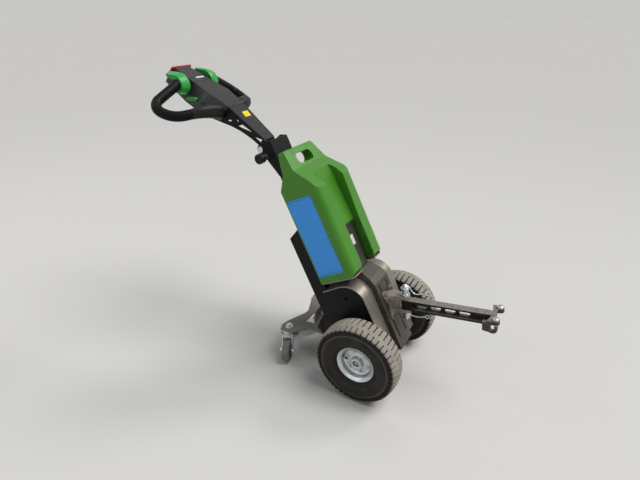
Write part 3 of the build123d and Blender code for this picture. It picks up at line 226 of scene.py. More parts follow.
def stretch(tree, coordinates, scale, turn_by=(0, 0, 0)):
    """Turns and stretches the coordinates, for grain that runs one way."""
    mapping = tree.nodes.new("ShaderNodeMapping")
    mapping.inputs["Rotation"].default_value = turn_by
    mapping.inputs["Scale"].default_value = scale
    tree.links.new(coordinates, mapping.inputs["Vector"])
    return mapping.outputs["Vector"]


def cloud(tree, coordinates, scale, detail=4.0, roughness=0.55):
    """Soft random patches between 0 and 1."""
    node = tree.nodes.new("ShaderNodeTexNoise")
    node.inputs["Scale"].default_value = scale
    node.inputs["Detail"].default_value = detail
    node.inputs["Roughness"].default_value = roughness
    tree.links.new(coordinates, node.inputs["Vector"])
    return node.outputs[0]


def parts_of(tree, vector):
    """The x, y and z parts of a vector, each by its letter."""
    node = tree.nodes.new("ShaderNodeSeparateXYZ")
    tree.links.new(vector, node.inputs[0])
    return node.outputs


print("pattern helpers ready")

# %% [markdown]
# Patterns are then mapped from one span to another, multiplied, added and used as the share of a
# second colour. All of these are held between 0 and 1, so that no finish runs out of range.

# %% Helpers for sums and colours
def between(tree, value, low, high, to_low=0.0, to_high=1.0):
    """Maps a value from one span to another, held at both ends."""
    node = tree.nodes.new("ShaderNodeMapRange")
    spans = {"From Min": low, "From Max": high, "To Min": to_low, "To Max": to_high}
    for socket_name, number in spans.items():
        node.inputs[socket_name].default_value = number
    tree.links.new(value, node.inputs["Value"])
    return node.outputs["Result"]


def reckon(tree, operation, first, second):
    """One sum of two values, each a socket or a number."""
    node = tree.nodes.new("ShaderNodeMath")
    node.operation = operation
    node.use_clamp = True
    for socket, value in zip(node.inputs, (first, second)):
        if isinstance(value, (int, float)):
            socket.default_value = value
        else:
            tree.links.new(value, socket)
    return node.outputs[0]


def times(tree, first, second):
    """The product of two values."""
    return reckon(tree, "MULTIPLY", first, second)


def plus(tree, first, second):
    """The sum of two values."""
    return reckon(tree, "ADD", first, second)


def tint(tree, share, low, high):
    """Blends two colours, each a triple or a socket, by a share between 0 and 1."""
    node = tree.nodes.new("ShaderNodeMix")
    node.data_type = "RGBA"
    tree.links.new(share, node.inputs[0])
    for socket, value in ((node.inputs[6], low), (node.inputs[7], high)):
        if isinstance(value, tuple):
            socket.default_value = (*value, 1.0)
        else:
            tree.links.new(value, socket)
    return node.outputs[2]


def darker(colour, share):
    """A colour with each part multiplied by a share."""
    return tuple(v * share for v in colour)


print("sum and colour helpers ready")

# %% [markdown]
# The Bevel node looks a few millimetres around each point and returns a softened normal. Where
# that differs from the true normal there is an edge, which is where paint wears through first.
# The Bump node turns a pattern into a slightly uneven surface.

# %% Helpers for edges and grain
def soft_edges(tree, radius):
    """The normal with every edge rounded by the radius, and a mask that is 1 along the edges."""
    rounded = tree.nodes.new("ShaderNodeBevel")
    rounded.samples = 6
    rounded.inputs["Radius"].default_value = radius
    true_normal = tree.nodes.new("ShaderNodeNewGeometry").outputs["Normal"]
    alike = tree.nodes.new("ShaderNodeVectorMath")
    alike.operation = "DOT_PRODUCT"
    tree.links.new(rounded.outputs["Normal"], alike.inputs[0])
    tree.links.new(true_normal, alike.inputs[1])
    return rounded.outputs["Normal"], between(tree, alike.outputs["Value"], 0.97, 0.80)


def grain(tree, shader, height, strength, distance, normal=None):
    """Gives the shader a normal that a height pattern tilts."""
    node = tree.nodes.new("ShaderNodeBump")
    node.inputs["Strength"].default_value = strength
    node.inputs["Distance"].default_value = distance
    tree.links.new(height, node.inputs["Height"])
    if normal is not None:
        tree.links.new(normal, node.inputs["Normal"])
    tree.links.new(node.outputs["Normal"], shader.inputs["Normal"])


print("edge and grain helpers ready")

# %% [markdown]
# Sheet steel on a tug is powder coated: a baked skin with a very fine orange peel, a few scuffs
# that are greyer than the rest, grey rubbed edges, and dust that settles low down.
# One recipe serves the black body, the plates and the taupe cover, which has metal flake in it.

# %% Powder coat and metallic paint
SHEET_EDGE = 0.0016
FLOOR_DUST = (0.30, 0.28, 0.25)


def painted_sheet(name, colour, rubbed, roughness, metallic=0.0, dust=0.25, flake=0.0, rub=1.0, shine=0.4):
    """Base colour with broad patches, rubbed edges broken by a cloud, and dust near the floor."""
    material, tree, shader, at = start_finish(name)
    normal, edges = soft_edges(tree, SHEET_EDGE)
    patches = between(tree, cloud(tree, at, 9.0, 5.0), 0.35, 0.65)
    body = tint(tree, patches, darker(colour, 0.86), colour)
    if flake:
        sparkle = between(tree, cloud(tree, at, 1500.0, 1.0), 0.58, 0.72)
        glint = tuple(min(1.0, v * 1.9 + 0.05) for v in colour)
        body = tint(tree, times(tree, sparkle, flake), body, glint)
    streaks = between(tree, cloud(tree, stretch(tree, at, (1.0, 1.0, 0.22)), 120.0, 6.0, 0.7), 0.60, 0.74)
    areas = between(tree, cloud(tree, at, 14.0, 3.0), 0.50, 0.62, 0.0, 0.45)
    body = tint(tree, times(tree, streaks, areas), body, rubbed)
    broken = between(tree, cloud(tree, at, 90.0, 5.0), 0.42, 0.60)
    body = tint(tree, times(tree, times(tree, edges, broken), rub), body, rubbed)
    low = between(tree, parts_of(tree, at)["Z"], 0.30, 0.05, 0.0, dust)
    low = times(tree, low, between(tree, cloud(tree, at, 30.0, 5.0), 0.35, 0.65))
    body = tint(tree, low, body, FLOOR_DUST)
    tree.links.new(body, shader.inputs["Base Color"])
    shader.inputs["Metallic"].default_value = metallic
    shader.inputs["Specular IOR Level"].default_value = shine
    gloss = between(tree, patches, 0.0, 1.0, roughness - 0.05, roughness + 0.05)
    tree.links.new(plus(tree, gloss, times(tree, low, 0.6)), shader.inputs["Roughness"])
    grain(tree, shader, cloud(tree, at, 900.0, 2.0), 0.12, 0.0004, normal)
    return material


powder_black = painted_sheet(
    "powder_black", (0.0065, 0.0065, 0.0072), (0.055, 0.054, 0.052), 0.42, dust=0.12, shine=0.16)
taupe_metallic = painted_sheet(
    "taupe_metallic", (0.29, 0.258, 0.213), (0.52, 0.48, 0.42), 0.36,
    metallic=0.62, dust=0.15, flake=0.35, rub=0.7)
slot_plate = painted_sheet(
    "slot_plate_paint", (0.078, 0.070, 0.060), (0.30, 0.28, 0.25), 0.42,
    metallic=0.45, dust=0.15, flake=0.15, rub=0.8, shine=0.3)
plate_steel = painted_sheet(
    "plate_steel", (0.235, 0.218, 0.190), (0.44, 0.42, 0.38), 0.50, metallic=0.15, dust=0.25, shine=0.3)
dull_bolt = painted_sheet(
    "dull_bolt", (0.15, 0.137, 0.12), (0.40, 0.37, 0.33), 0.50, metallic=0.4, dust=0.20, shine=0.3)
gear_grey = painted_sheet(
    "gear_grey", (0.12, 0.122, 0.126), (0.30, 0.30, 0.30), 0.5, metallic=0.3, dust=0.35)
arm_grey = painted_sheet(
    "arm_grey", (0.022, 0.0222, 0.0232), (0.13, 0.13, 0.125), 0.40, dust=0.0, shine=0.22)
print("painted sheet finishes:", 7)

# %% [markdown]
# Moulded plastic has a fine spark-eroded grain that breaks up its shine, slightly paler rims
# where it is handled, and long faint scratches. The battery case is glossier than the dark
# covers. One recipe takes the colour, the gloss and the depth of the grain.

# %% Moulded plastics
def moulded(name, colour, edge_colour, roughness, edge=0.0025, grain_depth=0.10, coat=0.0, shine=0.3):
    """Colour with faint clouds, paler edges, fine grain and a few thin scratches."""
    material, tree, shader, at = start_finish(name)
    normal, edges = soft_edges(tree, edge)
    patches = between(tree, cloud(tree, at, 7.0, 4.0), 0.3, 0.7)
    body = tint(tree, patches, darker(colour, 0.90), colour)
    handled = times(tree, edges, between(tree, cloud(tree, at, 60.0, 4.0), 0.35, 0.65, 0.15, 0.75))
    body = tint(tree, handled, body, edge_colour)
    thin = cloud(tree, stretch(tree, at, (9.0, 9.0, 0.6), (0.3, 0.5, 0.0)), 60.0, 3.0, 0.6)
    areas = between(tree, cloud(tree, at, 11.0, 2.0), 0.52, 0.66, 0.0, 0.5)
    scratches = times(tree, between(tree, thin, 0.66, 0.72), areas)
    body = tint(tree, scratches, body, edge_colour)
    tree.links.new(body, shader.inputs["Base Color"])
    gloss = between(tree, cloud(tree, at, 26.0, 4.0), 0.3, 0.7, roughness - 0.06, roughness + 0.06)
    tree.links.new(plus(tree, gloss, times(tree, scratches, 0.3)), shader.inputs["Roughness"])
    shader.inputs["Specular IOR Level"].default_value = shine
    shader.inputs["Coat Weight"].default_value = coat
    shader.inputs["Coat Roughness"].default_value = 0.12
    grain(tree, shader, cloud(tree, at, 1400.0, 2.0), grain_depth, 0.0005, normal)
    return material


green_case = moulded(
    "green_case", (0.058, 0.232, 0.016), (0.26, 0.54, 0.18), 0.31, edge=0.0034, coat=0.12)
green_bright = moulded(
    "green_bright", (0.030, 0.36, 0.058), (0.18, 0.56, 0.19), 0.28, edge=0.0015, coat=0.15)
dark_column = moulded(
    "dark_column", (0.040, 0.037, 0.033), (0.12, 0.115, 0.11), 0.46, shine=0.25)
console_grey = moulded(
    "console_grey", (0.034, 0.0343, 0.036), (0.075, 0.076, 0.08), 0.42, grain_depth=0.2, shine=0.25)
base_black = moulded(
    "base_black", (0.0115, 0.0115, 0.0125), (0.050, 0.050, 0.053), 0.45, grain_depth=0.2, shine=0.25)
red_lever = moulded(
    "red_lever", (0.50, 0.014, 0.012), (0.75, 0.16, 0.12), 0.28, edge=0.0015, coat=0.3)
castor_body = moulded(
    "castor_body", (0.060, 0.060, 0.062), (0.18, 0.18, 0.18), 0.5, edge=0.001)
print("moulded finishes:", 7)

# %% [markdown]
# Bright metal takes its look from what it reflects, so the recipe varies the roughness more than
# the colour. Zinc plate is cool and a little cloudy, with faint darker stains. The wheel's shaft
# is plain steel, stained brown by grease and rust.

# %% Bright metals
def bright_metal(name, colour, stain, stained, roughness):
    """A metal whose roughness clouds over, with stains of a second colour."""
    material, tree, shader, at = start_finish(name)
    normal, _ = soft_edges(tree, 0.0008)
    dull = between(tree, cloud(tree, at, 55.0, 6.0, 0.65), 0.35, 0.70)
    body = tint(tree, dull, colour, darker(colour, 0.78))
    spots = between(tree, cloud(tree, at, 110.0, 6.0, 0.7), 1.0 - stained, 1.12 - stained)
    body = tint(tree, spots, body, stain)
    tree.links.new(body, shader.inputs["Base Color"])
    tree.links.new(between(tree, spots, 0.0, 1.0, 1.0, 0.35), shader.inputs["Metallic"])
    gloss = between(tree, dull, 0.0, 1.0, roughness, roughness + 0.16)
    tree.links.new(plus(tree, gloss, times(tree, spots, 0.35)), shader.inputs["Roughness"])
    grain(tree, shader, cloud(tree, at, 900.0, 3.0), 0.06, 0.0004, normal)
    return material


rim_zinc = bright_metal("rim_zinc", (0.62, 0.66, 0.68), (0.26, 0.25, 0.21), 0.20, 0.26)
zinc = bright_metal("zinc_plate", (0.66, 0.70, 0.72), (0.30, 0.27, 0.20), 0.30, 0.24)
bolt_steel = bright_metal("bolt_steel", (0.56, 0.56, 0.55), (0.20, 0.13, 0.08), 0.38, 0.30)
shaft_brass = bright_metal("stained_shaft", (0.50, 0.36, 0.22), (0.16, 0.09, 0.05), 0.45, 0.38)
print("bright metals:", 4)

# %% [markdown]
# The coupling is cast and forged iron. Its skin is rough from the mould, painted thinly, and
# rubbed to brown where the pin and chains work. Rust is a coarser cloud.
# Dust lies on every face that looks up: the upright part of the piece's own normal says how much.

# %% Cast iron
LYING_DUST = (0.30, 0.275, 0.24)


def cast_iron(name, colour, rust, rusted, bare, roughness, metallic, settled=0.0):
    """A pitted skin with rust in clouds, bare metal on the edges and dust on top."""
    material, tree, shader, at = start_finish(name)
    normal, edges = soft_edges(tree, 0.0018)
    patches = between(tree, cloud(tree, at, 40.0, 5.0), 0.35, 0.65)
    body = tint(tree, patches, darker(colour, 0.75), colour)
    rusty = between(tree, cloud(tree, at, 70.0, 7.0, 0.7), 1.0 - rusted, 1.15 - rusted)
    body = tint(tree, rusty, body, rust)
    broken = between(tree, cloud(tree, at, 120.0, 4.0), 0.40, 0.58)
    body = tint(tree, times(tree, edges, broken), body, bare)
    if settled:
        facing = tree.nodes.new("ShaderNodeTexCoord").outputs["Normal"]
        looks_up = between(tree, parts_of(tree, facing)["Z"], 0.35, 0.85, 0.0, settled)
        thick = between(tree, cloud(tree, at, 150.0, 6.0, 0.7), 0.30, 0.62, 0.35, 1.0)
        body = tint(tree, times(tree, looks_up, thick), body, LYING_DUST)
    tree.links.new(body, shader.inputs["Base Color"])
    shader.inputs["Metallic"].default_value = metallic
    shader.inputs["Specular IOR Level"].default_value = 0.25
    tree.links.new(plus(tree, roughness, times(tree, rusty, 0.25)), shader.inputs["Roughness"])
    pits = plus(tree, cloud(tree, at, 420.0, 3.0), times(tree, rusty, 0.4))
    grain(tree, shader, pits, 0.35, 0.0006, normal)
    return material


cast_brown = cast_iron(
    "forged_bar", (0.012, 0.0105, 0.0092), (0.040, 0.028, 0.020), 0.40,
    (0.20, 0.185, 0.16), 0.55, 0.05, settled=0.90)
cast_worn = cast_iron(
    "forged_jaw", (0.075, 0.067, 0.058), (0.10, 0.07, 0.05), 0.40,
    (0.42, 0.40, 0.36), 0.48, 0.25, settled=0.75)
cast_taupe = cast_iron(
    "cast_bracket", (0.33, 0.295, 0.25), (0.17, 0.13, 0.10), 0.34, (0.50, 0.46, 0.41), 0.45, 0.30)
print("cast finishes:", 3)

# %% [markdown]
# Rubber is matt and never quite black. The drive tyres have picked up fine floor dust, so their
# blocks are grey-brown on top and dark in the grooves. The tyre's mesh below carries an attribute
# named dusty, which is 1 on the running surface and 0 in the grooves and on most of the flanks.

# %% Rubbers
GRIP_COLOUR, GRIP_WORN = (0.0055, 0.0055, 0.0060), (0.05, 0.05, 0.05)


def rubber(name, colour, dusty_colour, roughness, dust, attribute=None):
    """Matt rubber with dust in clouds, or laid by the mesh's own attribute."""
    material, tree, shader, at = start_finish(name)
    normal, _ = soft_edges(tree, 0.0012)
    smear = between(tree, cloud(tree, at, 34.0, 6.0, 0.65), 0.30, 0.72)
    share = times(tree, smear, dust)
    if attribute:
        reader = tree.nodes.new("ShaderNodeAttribute")
        reader.attribute_name = attribute
        on_top = times(tree, reader.outputs["Fac"], between(tree, smear, 0.0, 1.0, 0.72, 1.0))
        share = reckon(tree, "MAXIMUM", share, on_top)
    tree.links.new(tint(tree, share, colour, dusty_colour), shader.inputs["Base Color"])
    tree.links.new(between(tree, share, 0.0, 1.0, roughness, 0.9), shader.inputs["Roughness"])
    shader.inputs["Specular IOR Level"].default_value = 0.2
    grain(tree, shader, cloud(tree, at, 700.0, 3.0), 0.18, 0.0005, normal)
    return material


tyre_rubber = rubber(
    "tyre_rubber", (0.013, 0.0112, 0.0096), (0.33, 0.30, 0.26), 0.62, dust=0.08, attribute="dusty")
grip_black = rubber("grip_black", GRIP_COLOUR, GRIP_WORN, 0.40, dust=0.05)
castor_grey = rubber("castor_grey", (0.13, 0.120, 0.106), (0.33, 0.308, 0.27), 0.55, dust=0.6)
print("rubbers:", 3)

# %% [markdown]
# The cross run of each handle loop, farthest back, has fine flutes along it for the palms. They are
# too shallow for the mesh to carry, so a wave tilts the surface there and nowhere else. The run goes
# across the machine, so a wave of x + z, which ignores y, draws lines that follow the run.

# %% Fluted grip
CROSS_RUN = 0.040
FLUTE_FADE = 0.006


def fluted_grip(name, flutes_behind):
    """The grip's rubber with flutes about 3 mm apart along the cross run, behind a given place."""
    material, tree, shader, at = start_finish(name)
    normal, _ = soft_edges(tree, 0.0012)
    smear = between(tree, cloud(tree, at, 34.0, 6.0), 0.35, 0.7)
    body = tint(tree, times(tree, smear, 0.05), GRIP_COLOUR, GRIP_WORN)
    tree.links.new(body, shader.inputs["Base Color"])
    shader.inputs["Roughness"].default_value = 0.40
    shader.inputs["Specular IOR Level"].default_value = 0.09
    bands = tree.nodes.new("ShaderNodeTexWave")
    bands.bands_direction = "DIAGONAL"
    bands.inputs["Scale"].default_value = 140.0
    tree.links.new(stretch(tree, at, (1.0, 0.0, 1.0)), bands.inputs["Vector"])
    here = between(tree, parts_of(tree, at)["X"], flutes_behind, flutes_behind - FLUTE_FADE)
    grain(tree, shader, times(tree, bands.outputs["Fac"], here), 0.35, 0.0006, normal)
    return material


loop_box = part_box("handle_loop_right")
flutes_behind = float(loop_box[0][0]) + CROSS_RUN
loop_grip = fluted_grip("loop_grip", flutes_behind)
print("loops are fluted behind x =", round(flutes_behind, 3))

# %% [markdown]
# Each solid piece now gets its finish from a short table that follows the record's own slots.
# A second table names the pieces that part from their neighbours by a finish of their own, such
# as the bracket, which is cast in the cover's colour while the bar on it is dark.

# %% Dress the solid pieces
finish_by_slot = {
    "powder_black": powder_black, "taupe_metallic": taupe_metallic, "column_dark": dark_column,
    "green_plastic": green_case, "console_grey": console_grey, "grip_black": grip_black,
    "red_plastic": red_lever, "tyre_black": tyre_rubber, "zinc": zinc, "shaft_brass": shaft_brass,
    "castor_rubber": castor_grey, "castor_core": castor_body, "plate_steel": plate_steel,
    "cast_brown": cast_brown, "bolt_steel": bolt_steel, "gear_grey": gear_grey, "arm_grey": arm_grey,
}
finish_by_piece = {
    "throttle_collar_left": green_bright, "throttle_collar_right": green_bright,
    "thumb_button_left": green_bright, "thumb_button_right": green_bright,
    "handle_loop_left": loop_grip, "handle_loop_right": loop_grip, "head_base": base_black,
    "front_plate": slot_plate, "column_cap": slot_plate,
    "coupling_bracket": cast_taupe, "coupling_bolts": dull_bolt, "drawbar_pin": zinc,
    "end_jaw": cast_worn, "tow_hook": cast_worn,
}
slot_of = {row["node"]: row["material_slot"] for row in frame["record"]["subparts"]}
for piece_name, solid in frame["nodes"].items():
    finish = finish_by_piece.get(piece_name, finish_by_slot[slot_of[piece_name]])
    solid.data.materials.clear()
    solid.data.materials.append(finish)
print("dressed", len(frame["nodes"]), "solid pieces")

# %% [markdown]
# New pieces are made from whole arrays of points. A grid of points is a surface: its faces are
# the squares between neighbouring rows and columns, and either direction may close on itself.

# %% Helpers for new surfaces
def grid_faces(rows, columns, close_rows=False, close_columns=False):
    """The four corners of every square of a grid, as index arithmetic on whole arrays."""
    r = np.arange(rows if close_rows else rows - 1)[:, None]
    c = np.arange(columns if close_columns else columns - 1)[None, :]
    r2, c2 = (r + 1) % rows, (c + 1) % columns
    corners = [r * columns + c, r * columns + c2, r2 * columns + c2, r2 * columns + c]
    return np.stack(corners, axis=-1).reshape(-1, 4)


def capped_tube(wall, ends):
    """Rings of points as a tube, each end closed by triangles that meet at a middle point."""
    rings, sides = wall.shape[:2]
    points = np.concatenate([wall.reshape(-1, 3), ends])
    here, ahead = np.arange(sides), (np.arange(sides) + 1) % sides
    last = (rings - 1) * sides
    low = np.stack([np.full(sides, len(points) - 2), ahead, here], axis=-1)
    high = np.stack([np.full(sides, len(points) - 1), last + here, last + ahead], axis=-1)
    return points, [*grid_faces(rings, sides, close_columns=True), *low, *high]


def make_piece(name, points, faces, finish, body, slot, smooth=True, sharp=None):
    """Puts points and faces into a mesh at the origin, which rides on one body of the tug."""
    mesh = bpy.data.meshes.new(name)
    rows = np.asarray(points).reshape(-1, 3).tolist()
    mesh.from_pydata(rows, [], [list(map(int, face)) for face in faces])
    mesh.validate()
    if smooth:
        mesh.polygons.foreach_set("use_smooth", np.ones(len(mesh.polygons), dtype=bool))
    if sharp is not None:
        mesh.set_sharp_from_angle(angle=math.radians(sharp))
    mesh.materials.append(finish)
    piece = bpy.data.objects.new(name, mesh)
    bpy.context.scene.collection.objects.link(piece)
    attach(piece, body)
    return piece


print("surface helpers ready")

# %% [markdown]
# Most small parts of a wheel come off a lathe, so they are drawn as a profile and turned about an
# axis. A bent wire is the same circle carried along a path instead.

# %% Helpers for turned parts and wires
def circle_about(axis, sides):
    """The axis at length one, and arms of length one square to it, evenly round it."""
    axis = np.asarray(axis, float) / np.linalg.norm(axis)
    start = np.array((0.0, 0.0, 1.0) if abs(axis[2]) < 0.9 else (1.0, 0.0, 0.0))
    first = start - axis * (start @ axis)
    first /= np.linalg.norm(first)
    angle = np.arange(sides) * 2 * math.pi / sides
    return axis, np.cos(angle)[:, None] * first + np.sin(angle)[:, None] * np.cross(axis, first)


def turned(profile, sides, centre, axis):
    """A profile of (radius, height) turned about an axis; it starts and ends on the axis."""
    profile = np.asarray(profile, float) / 1000.0
    axis, arms = circle_about(axis, sides)
    outline = profile[1:-1]
    wall = outline[:, 0, None, None] * arms + outline[:, 1, None, None] * axis + np.asarray(centre)
    return capped_tube(wall, np.asarray(centre) + profile[[0, -1], 1][:, None] * axis)


def turned_ring(section, sides, centre, axis):
    """A closed section of (radius, height) swept about an axis, so that it closes both ways."""
    section = np.asarray(section, float) / 1000.0
    axis, arms = circle_about(axis, sides)
    points = section[:, 0, None, None] * arms + section[:, 1, None, None] * axis + np.asarray(centre)
    return points.reshape(-1, 3), grid_faces(len(section), sides, close_rows=True, close_columns=True)


def wire(path, radius, sides, flat_normal):
    """A round wire along a path that lies in one plane: circles square to the path's direction."""
    path = np.asarray(path, float)
    along = np.gradient(path, axis=0)
    along /= np.linalg.norm(along, axis=1)[:, None]
    flat = np.asarray(flat_normal, float) / np.linalg.norm(flat_normal)
    side = np.cross(along, flat)
    side /= np.linalg.norm(side, axis=1)[:, None]
    angle = np.arange(sides) * 2 * math.pi / sides
    ring = np.cos(angle)[None, :, None] * side[:, None, :] + np.sin(angle)[None, :, None] * flat
    points, faces = capped_tube(path[:, None, :] + radius / 1000.0 * ring, path[[0, -1]])
    return points, [face[::-1] for face in faces]


def rounded_path(corners, radius, steps=6):
    """Straight runs whose corners are replaced by short curves of the second degree."""
    corners = np.asarray(corners, float)
    middle = corners[1:-1]
    before, after = corners[:-2] - middle, corners[2:] - middle
    long_before = np.linalg.norm(before, axis=1)[:, None]
    long_after = np.linalg.norm(after, axis=1)[:, None]
    start = middle + before / long_before * np.minimum(radius, 0.48 * long_before)
    end = middle + after / long_after * np.minimum(radius, 0.48 * long_after)
    t = np.linspace(0, 1, steps)[None, :, None]
    bends = (1 - t) ** 2 * start[:, None] + 2 * t * (1 - t) * middle[:, None] + t ** 2 * end[:, None]
    return np.concatenate([corners[:1], bends.reshape(-1, 3), corners[-1:]])


print("turning helpers ready")

# %% [markdown]
# The drive tyre is a small pneumatic one. Straight grooves run across its tread in two rows, half a
# pitch apart: one row opens at the outer shoulder, the other at the inner shoulder, and a plain
# rib stays between them. Each groove ends in a wider hole, and a short notch nicks each block at
# the shoulder. The whole skin is one grid: its columns go round the wheel and its rows follow the
# section from bead to bead, with a column on each edge of each groove. A groove is then only a
# matter of lowering some columns over some rows.

# %% Section of the tyre
WHEEL_MIDDLE, AXLE_HEIGHT = 170.0, 134.0
CROWN_STOPS = [0, 3.5, 6.7, 7.4, 9.0, 12, 16, 20.5, 21.2, 22.8, 25.5, 28.5, 31.5, 34.5]
CROWN = np.array([
    (0, 133.98), (6, 133.88), (12, 133.6), (17.25, 133.1), (23, 132.4), (28, 131.5), (31.5, 130.6),
    (34.5, 129.6),
])
FLANK_AND_BEAD = [
    (37.0, 128.2), (38.8, 126.4), (39.9, 124.0), (40.4, 121.0), (40.7, 117.4), (40.9, 114.6),
    (41.0, 112.2), (40.0, 111.7), (40.6, 107.5), (41.3, 106.9), (41.3, 105.9), (41.0, 105.4),
    (42.2, 99.0), (42.8, 93.5), (42.8, 89.5), (42.3, 85.0), (41.2, 80.5), (41.9, 79.8),
    (41.6, 78.2), (40.4, 77.8), (38.0, 72.5), (37.6, 71.2), (36.2, 70.6), (34.0, 67.4),
    (32.4, 65.6), (30.0, 64.4), (26.4, 63.4), (25.6, 60.0), (22.6, 53.0), (20.0, 51.0),
    (13.0, 50.9),
]


def tyre_section():
    """(Outwards, radius) from the outer bead to the inner one, whose flank is a tenth narrower."""
    tread = np.stack([CROWN_STOPS, np.interp(CROWN_STOPS, CROWN[:, 0], CROWN[:, 1])], axis=-1)
    outer = np.concatenate([tread, FLANK_AND_BEAD])
    inner = outer * (-1, 1)
    inner[:, 0] *= 1 - 0.10 * np.clip((inner[:, 1] - 66.0) / 20.0, 0, 1)
    return np.concatenate([outer[::-1], inner[1:]])


section = tyre_section()
out, radius = section[:, 0], section[:, 1]
print("tyre section:", len(section), "points, radius", radius.min(), "to", radius.max(), "mm")

# %% [markdown]
# A pitch of the tread holds one groove of each row. Every groove has four columns: the outer two
# stay up as the edges of the blocks and the inner two sink. Three plain columns lie between
# grooves, so a pitch has fourteen, at the places below in twentieths of the pitch.

# %% Columns round the wheel
GROOVES = 46
PITCH = 2 * math.pi / GROOVES
EDGES = np.array([-1.85, -1.3, 1.3, 1.85])

column_spots = np.concatenate([EDGES, [3.9, 5.0, 6.1], EDGES + 10.0, [13.9, 15.0, 16.1]])
column_angles = (column_spots * PITCH / 20.0)[None, :] + (np.arange(GROOVES) * PITCH)[:, None]
column_angles = column_angles.reshape(-1)
outer_group = np.tile([1.0] * 4 + [0.0] * 10, GROOVES)
outer_sinks = np.tile([0.0, 1.0, 1.0] + [0.0] * 11, GROOVES)
inner_group, inner_sinks = np.roll(outer_group, 7), np.roll(outer_sinks, 7)
edge_side = np.tile([-1.0, -1.0, 1.0, 1.0, 0.0, 0.0, 0.0], 2 * GROOVES)
print("columns round the wheel:", len(column_angles))

# %% [markdown]
# Rows say where along the section a groove starts, how deep it is and where it widens. The depth
# is taken off square to the section, and the widths are turned into angles. Both tyres share the
# result. Their attribute is 1 where the section is near its full radius and not in a groove.

# %% Tyres with their tread
OUTER_START, INNER_START = 20.6, 7.3
GROOVE_DEPTH, NOTCH_DEPTH = 4.6, 2.6
OUTER_HOLE, INNER_HOLE = (21.0, 23.5), (3.0, 7.0)


def ramp(value, start, length):
    """Nought up to the start, then evenly up to one over the length."""
    return np.clip((value - start) / length, 0, 1)


def sunk_depth():
    """Groove depth where a row and a column both sink, and the notch depth across from it."""
    tread = ramp(radius, 111.8, 2.6)
    in_outer, in_inner = ramp(out, OUTER_START, 0.5) * tread, ramp(-out, -INNER_START, 0.5) * tread
    nick = np.clip((123.5 - radius) / 1.5, 0, 1) * ramp(radius, 113.5, 1.5)
    sunk = in_outer[:, None] * outer_sinks + in_inner[:, None] * inner_sinks
    notched = (nick * (out > 0))[:, None] * inner_sinks + (nick * (out < 0))[:, None] * outer_sinks
    return GROOVE_DEPTH * sunk + NOTCH_DEPTH * notched


def widened_angles():
    """Column angles, with a groove's edges moved apart at its shoulder, its wedge and its hole."""
    flank = radius > 104
    shoulder = ramp(np.abs(out), 32.0, 6.0) * flank * (out > 0)
    wedge = 2.2 * ramp(-out, 9.0, 18.0) * flank
    outer_hole = (out > OUTER_HOLE[0]) & (out < OUTER_HOLE[1])
    inner_hole = (out > INNER_HOLE[0]) & (out < INNER_HOLE[1])
    opened = shoulder[:, None] * outer_group + wedge[:, None] * inner_group
    holes = outer_hole[:, None] * outer_group + inner_hole[:, None] * inner_group
    return column_angles + PITCH / 20.0 * edge_side * (0.7 * opened + 0.75 * holes)


def square_to_section():
    """Directions square to the section: its step turned a quarter, away from the tyre's core."""
    step = np.gradient(section, axis=0)
    away = np.stack([-step[:, 1], step[:, 0]], axis=-1)
    away /= np.linalg.norm(away, axis=1)[:, None]
    core_side = (away * np.stack([out, radius - 95.0], -1)).sum(1) < 0
    return away * np.where(core_side, -1, 1)[:, None]


depth, angle, away = sunk_depth(), widened_angles(), square_to_section()
across = out[:, None] - depth * away[:, 0:1]
reach = radius[:, None] - depth * away[:, 1:2]
flank_rings = 0.22 * ((radius > 105.6) & (radius < 112.0)) + 0.14 * ((radius > 78.0) & (radius < 80.0))
dust_share = np.maximum(ramp(radius, 125.5, 2.6), flank_rings)[:, None] * (1.0 - ramp(depth, 0.0, 1.2))
tyre_faces = grid_faces(*angle.shape, close_rows=True, close_columns=True)
for hand, side in (("right", -1), ("left", 1)):
    points = millimetres(
        reach * np.sin(angle), side * (WHEEL_MIDDLE + across), AXLE_HEIGHT + reach * np.cos(angle))
    tyre = make_piece(
        f"tyre_with_tread_{hand}", points, tyre_faces if side < 0 else tyre_faces[:, ::-1],
        tyre_rubber, f"wheel_{hand}", "tyre_black", sharp=32)
    dusty = tyre.data.attributes.new("dusty", "FLOAT", "POINT")
    dusty.data.foreach_set("value", dust_share.reshape(-1).astype(np.float32))
    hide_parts(f"drive_tyre_{hand}")
    print(tyre.name, "faces:", len(tyre.data.polygons))

# %% [markdown]
# The rim is one pressed and welded ring of zinc-plated sheet. Its lip is rolled, its flange is
# dished, and its barrel runs in to the disc that six small nuts hold. The hub tube stands out of
# the disc. The section is drawn once, as radius and distance outwards, and swept round the axle.

# %% Section of the rim
half_rim = [
    (62.0, 29.2), (61.4, 30.0), (60.2, 30.0), (58.9, 29.3), (56.4, 28.1), (51.4, 25.8),
    (50.2, 24.9), (49.3, 23.5), (48.6, 21.0), (47.6, 16.0),
]
disc_and_hub = [
    (46.6, 12.6), (45.0, 10.3), (42.8, 9.1), (40.0, 8.8), (22.5, 8.8), (20.4, 9.6), (19.4, 11.5),
    (19.2, 14.0), (19.0, 22.6), (18.0, 24.0), (11.6, 24.0), (10.4, 23.0), (10.4, -28.0),
    (18.0, -28.0), (19.0, -27.0), (19.0, 5.6), (40.0, 6.0), (44.0, 7.0), (46.0, 8.4),
    (46.2, 0.0), (46.4, -12.0),
]
bead_seat = [
    (61.4, -27.4), (58.6, -26.6), (52.0, -23.2), (50.8, -21.8), (50.4, -19.0), (49.6, -15.0),
    (48.8, -12.0), (48.7, 0.0), (48.8, 12.0), (49.6, 15.0), (50.4, 19.0), (50.8, 21.8),
    (52.0, 23.2), (58.6, 26.6), (61.4, 27.4),
]
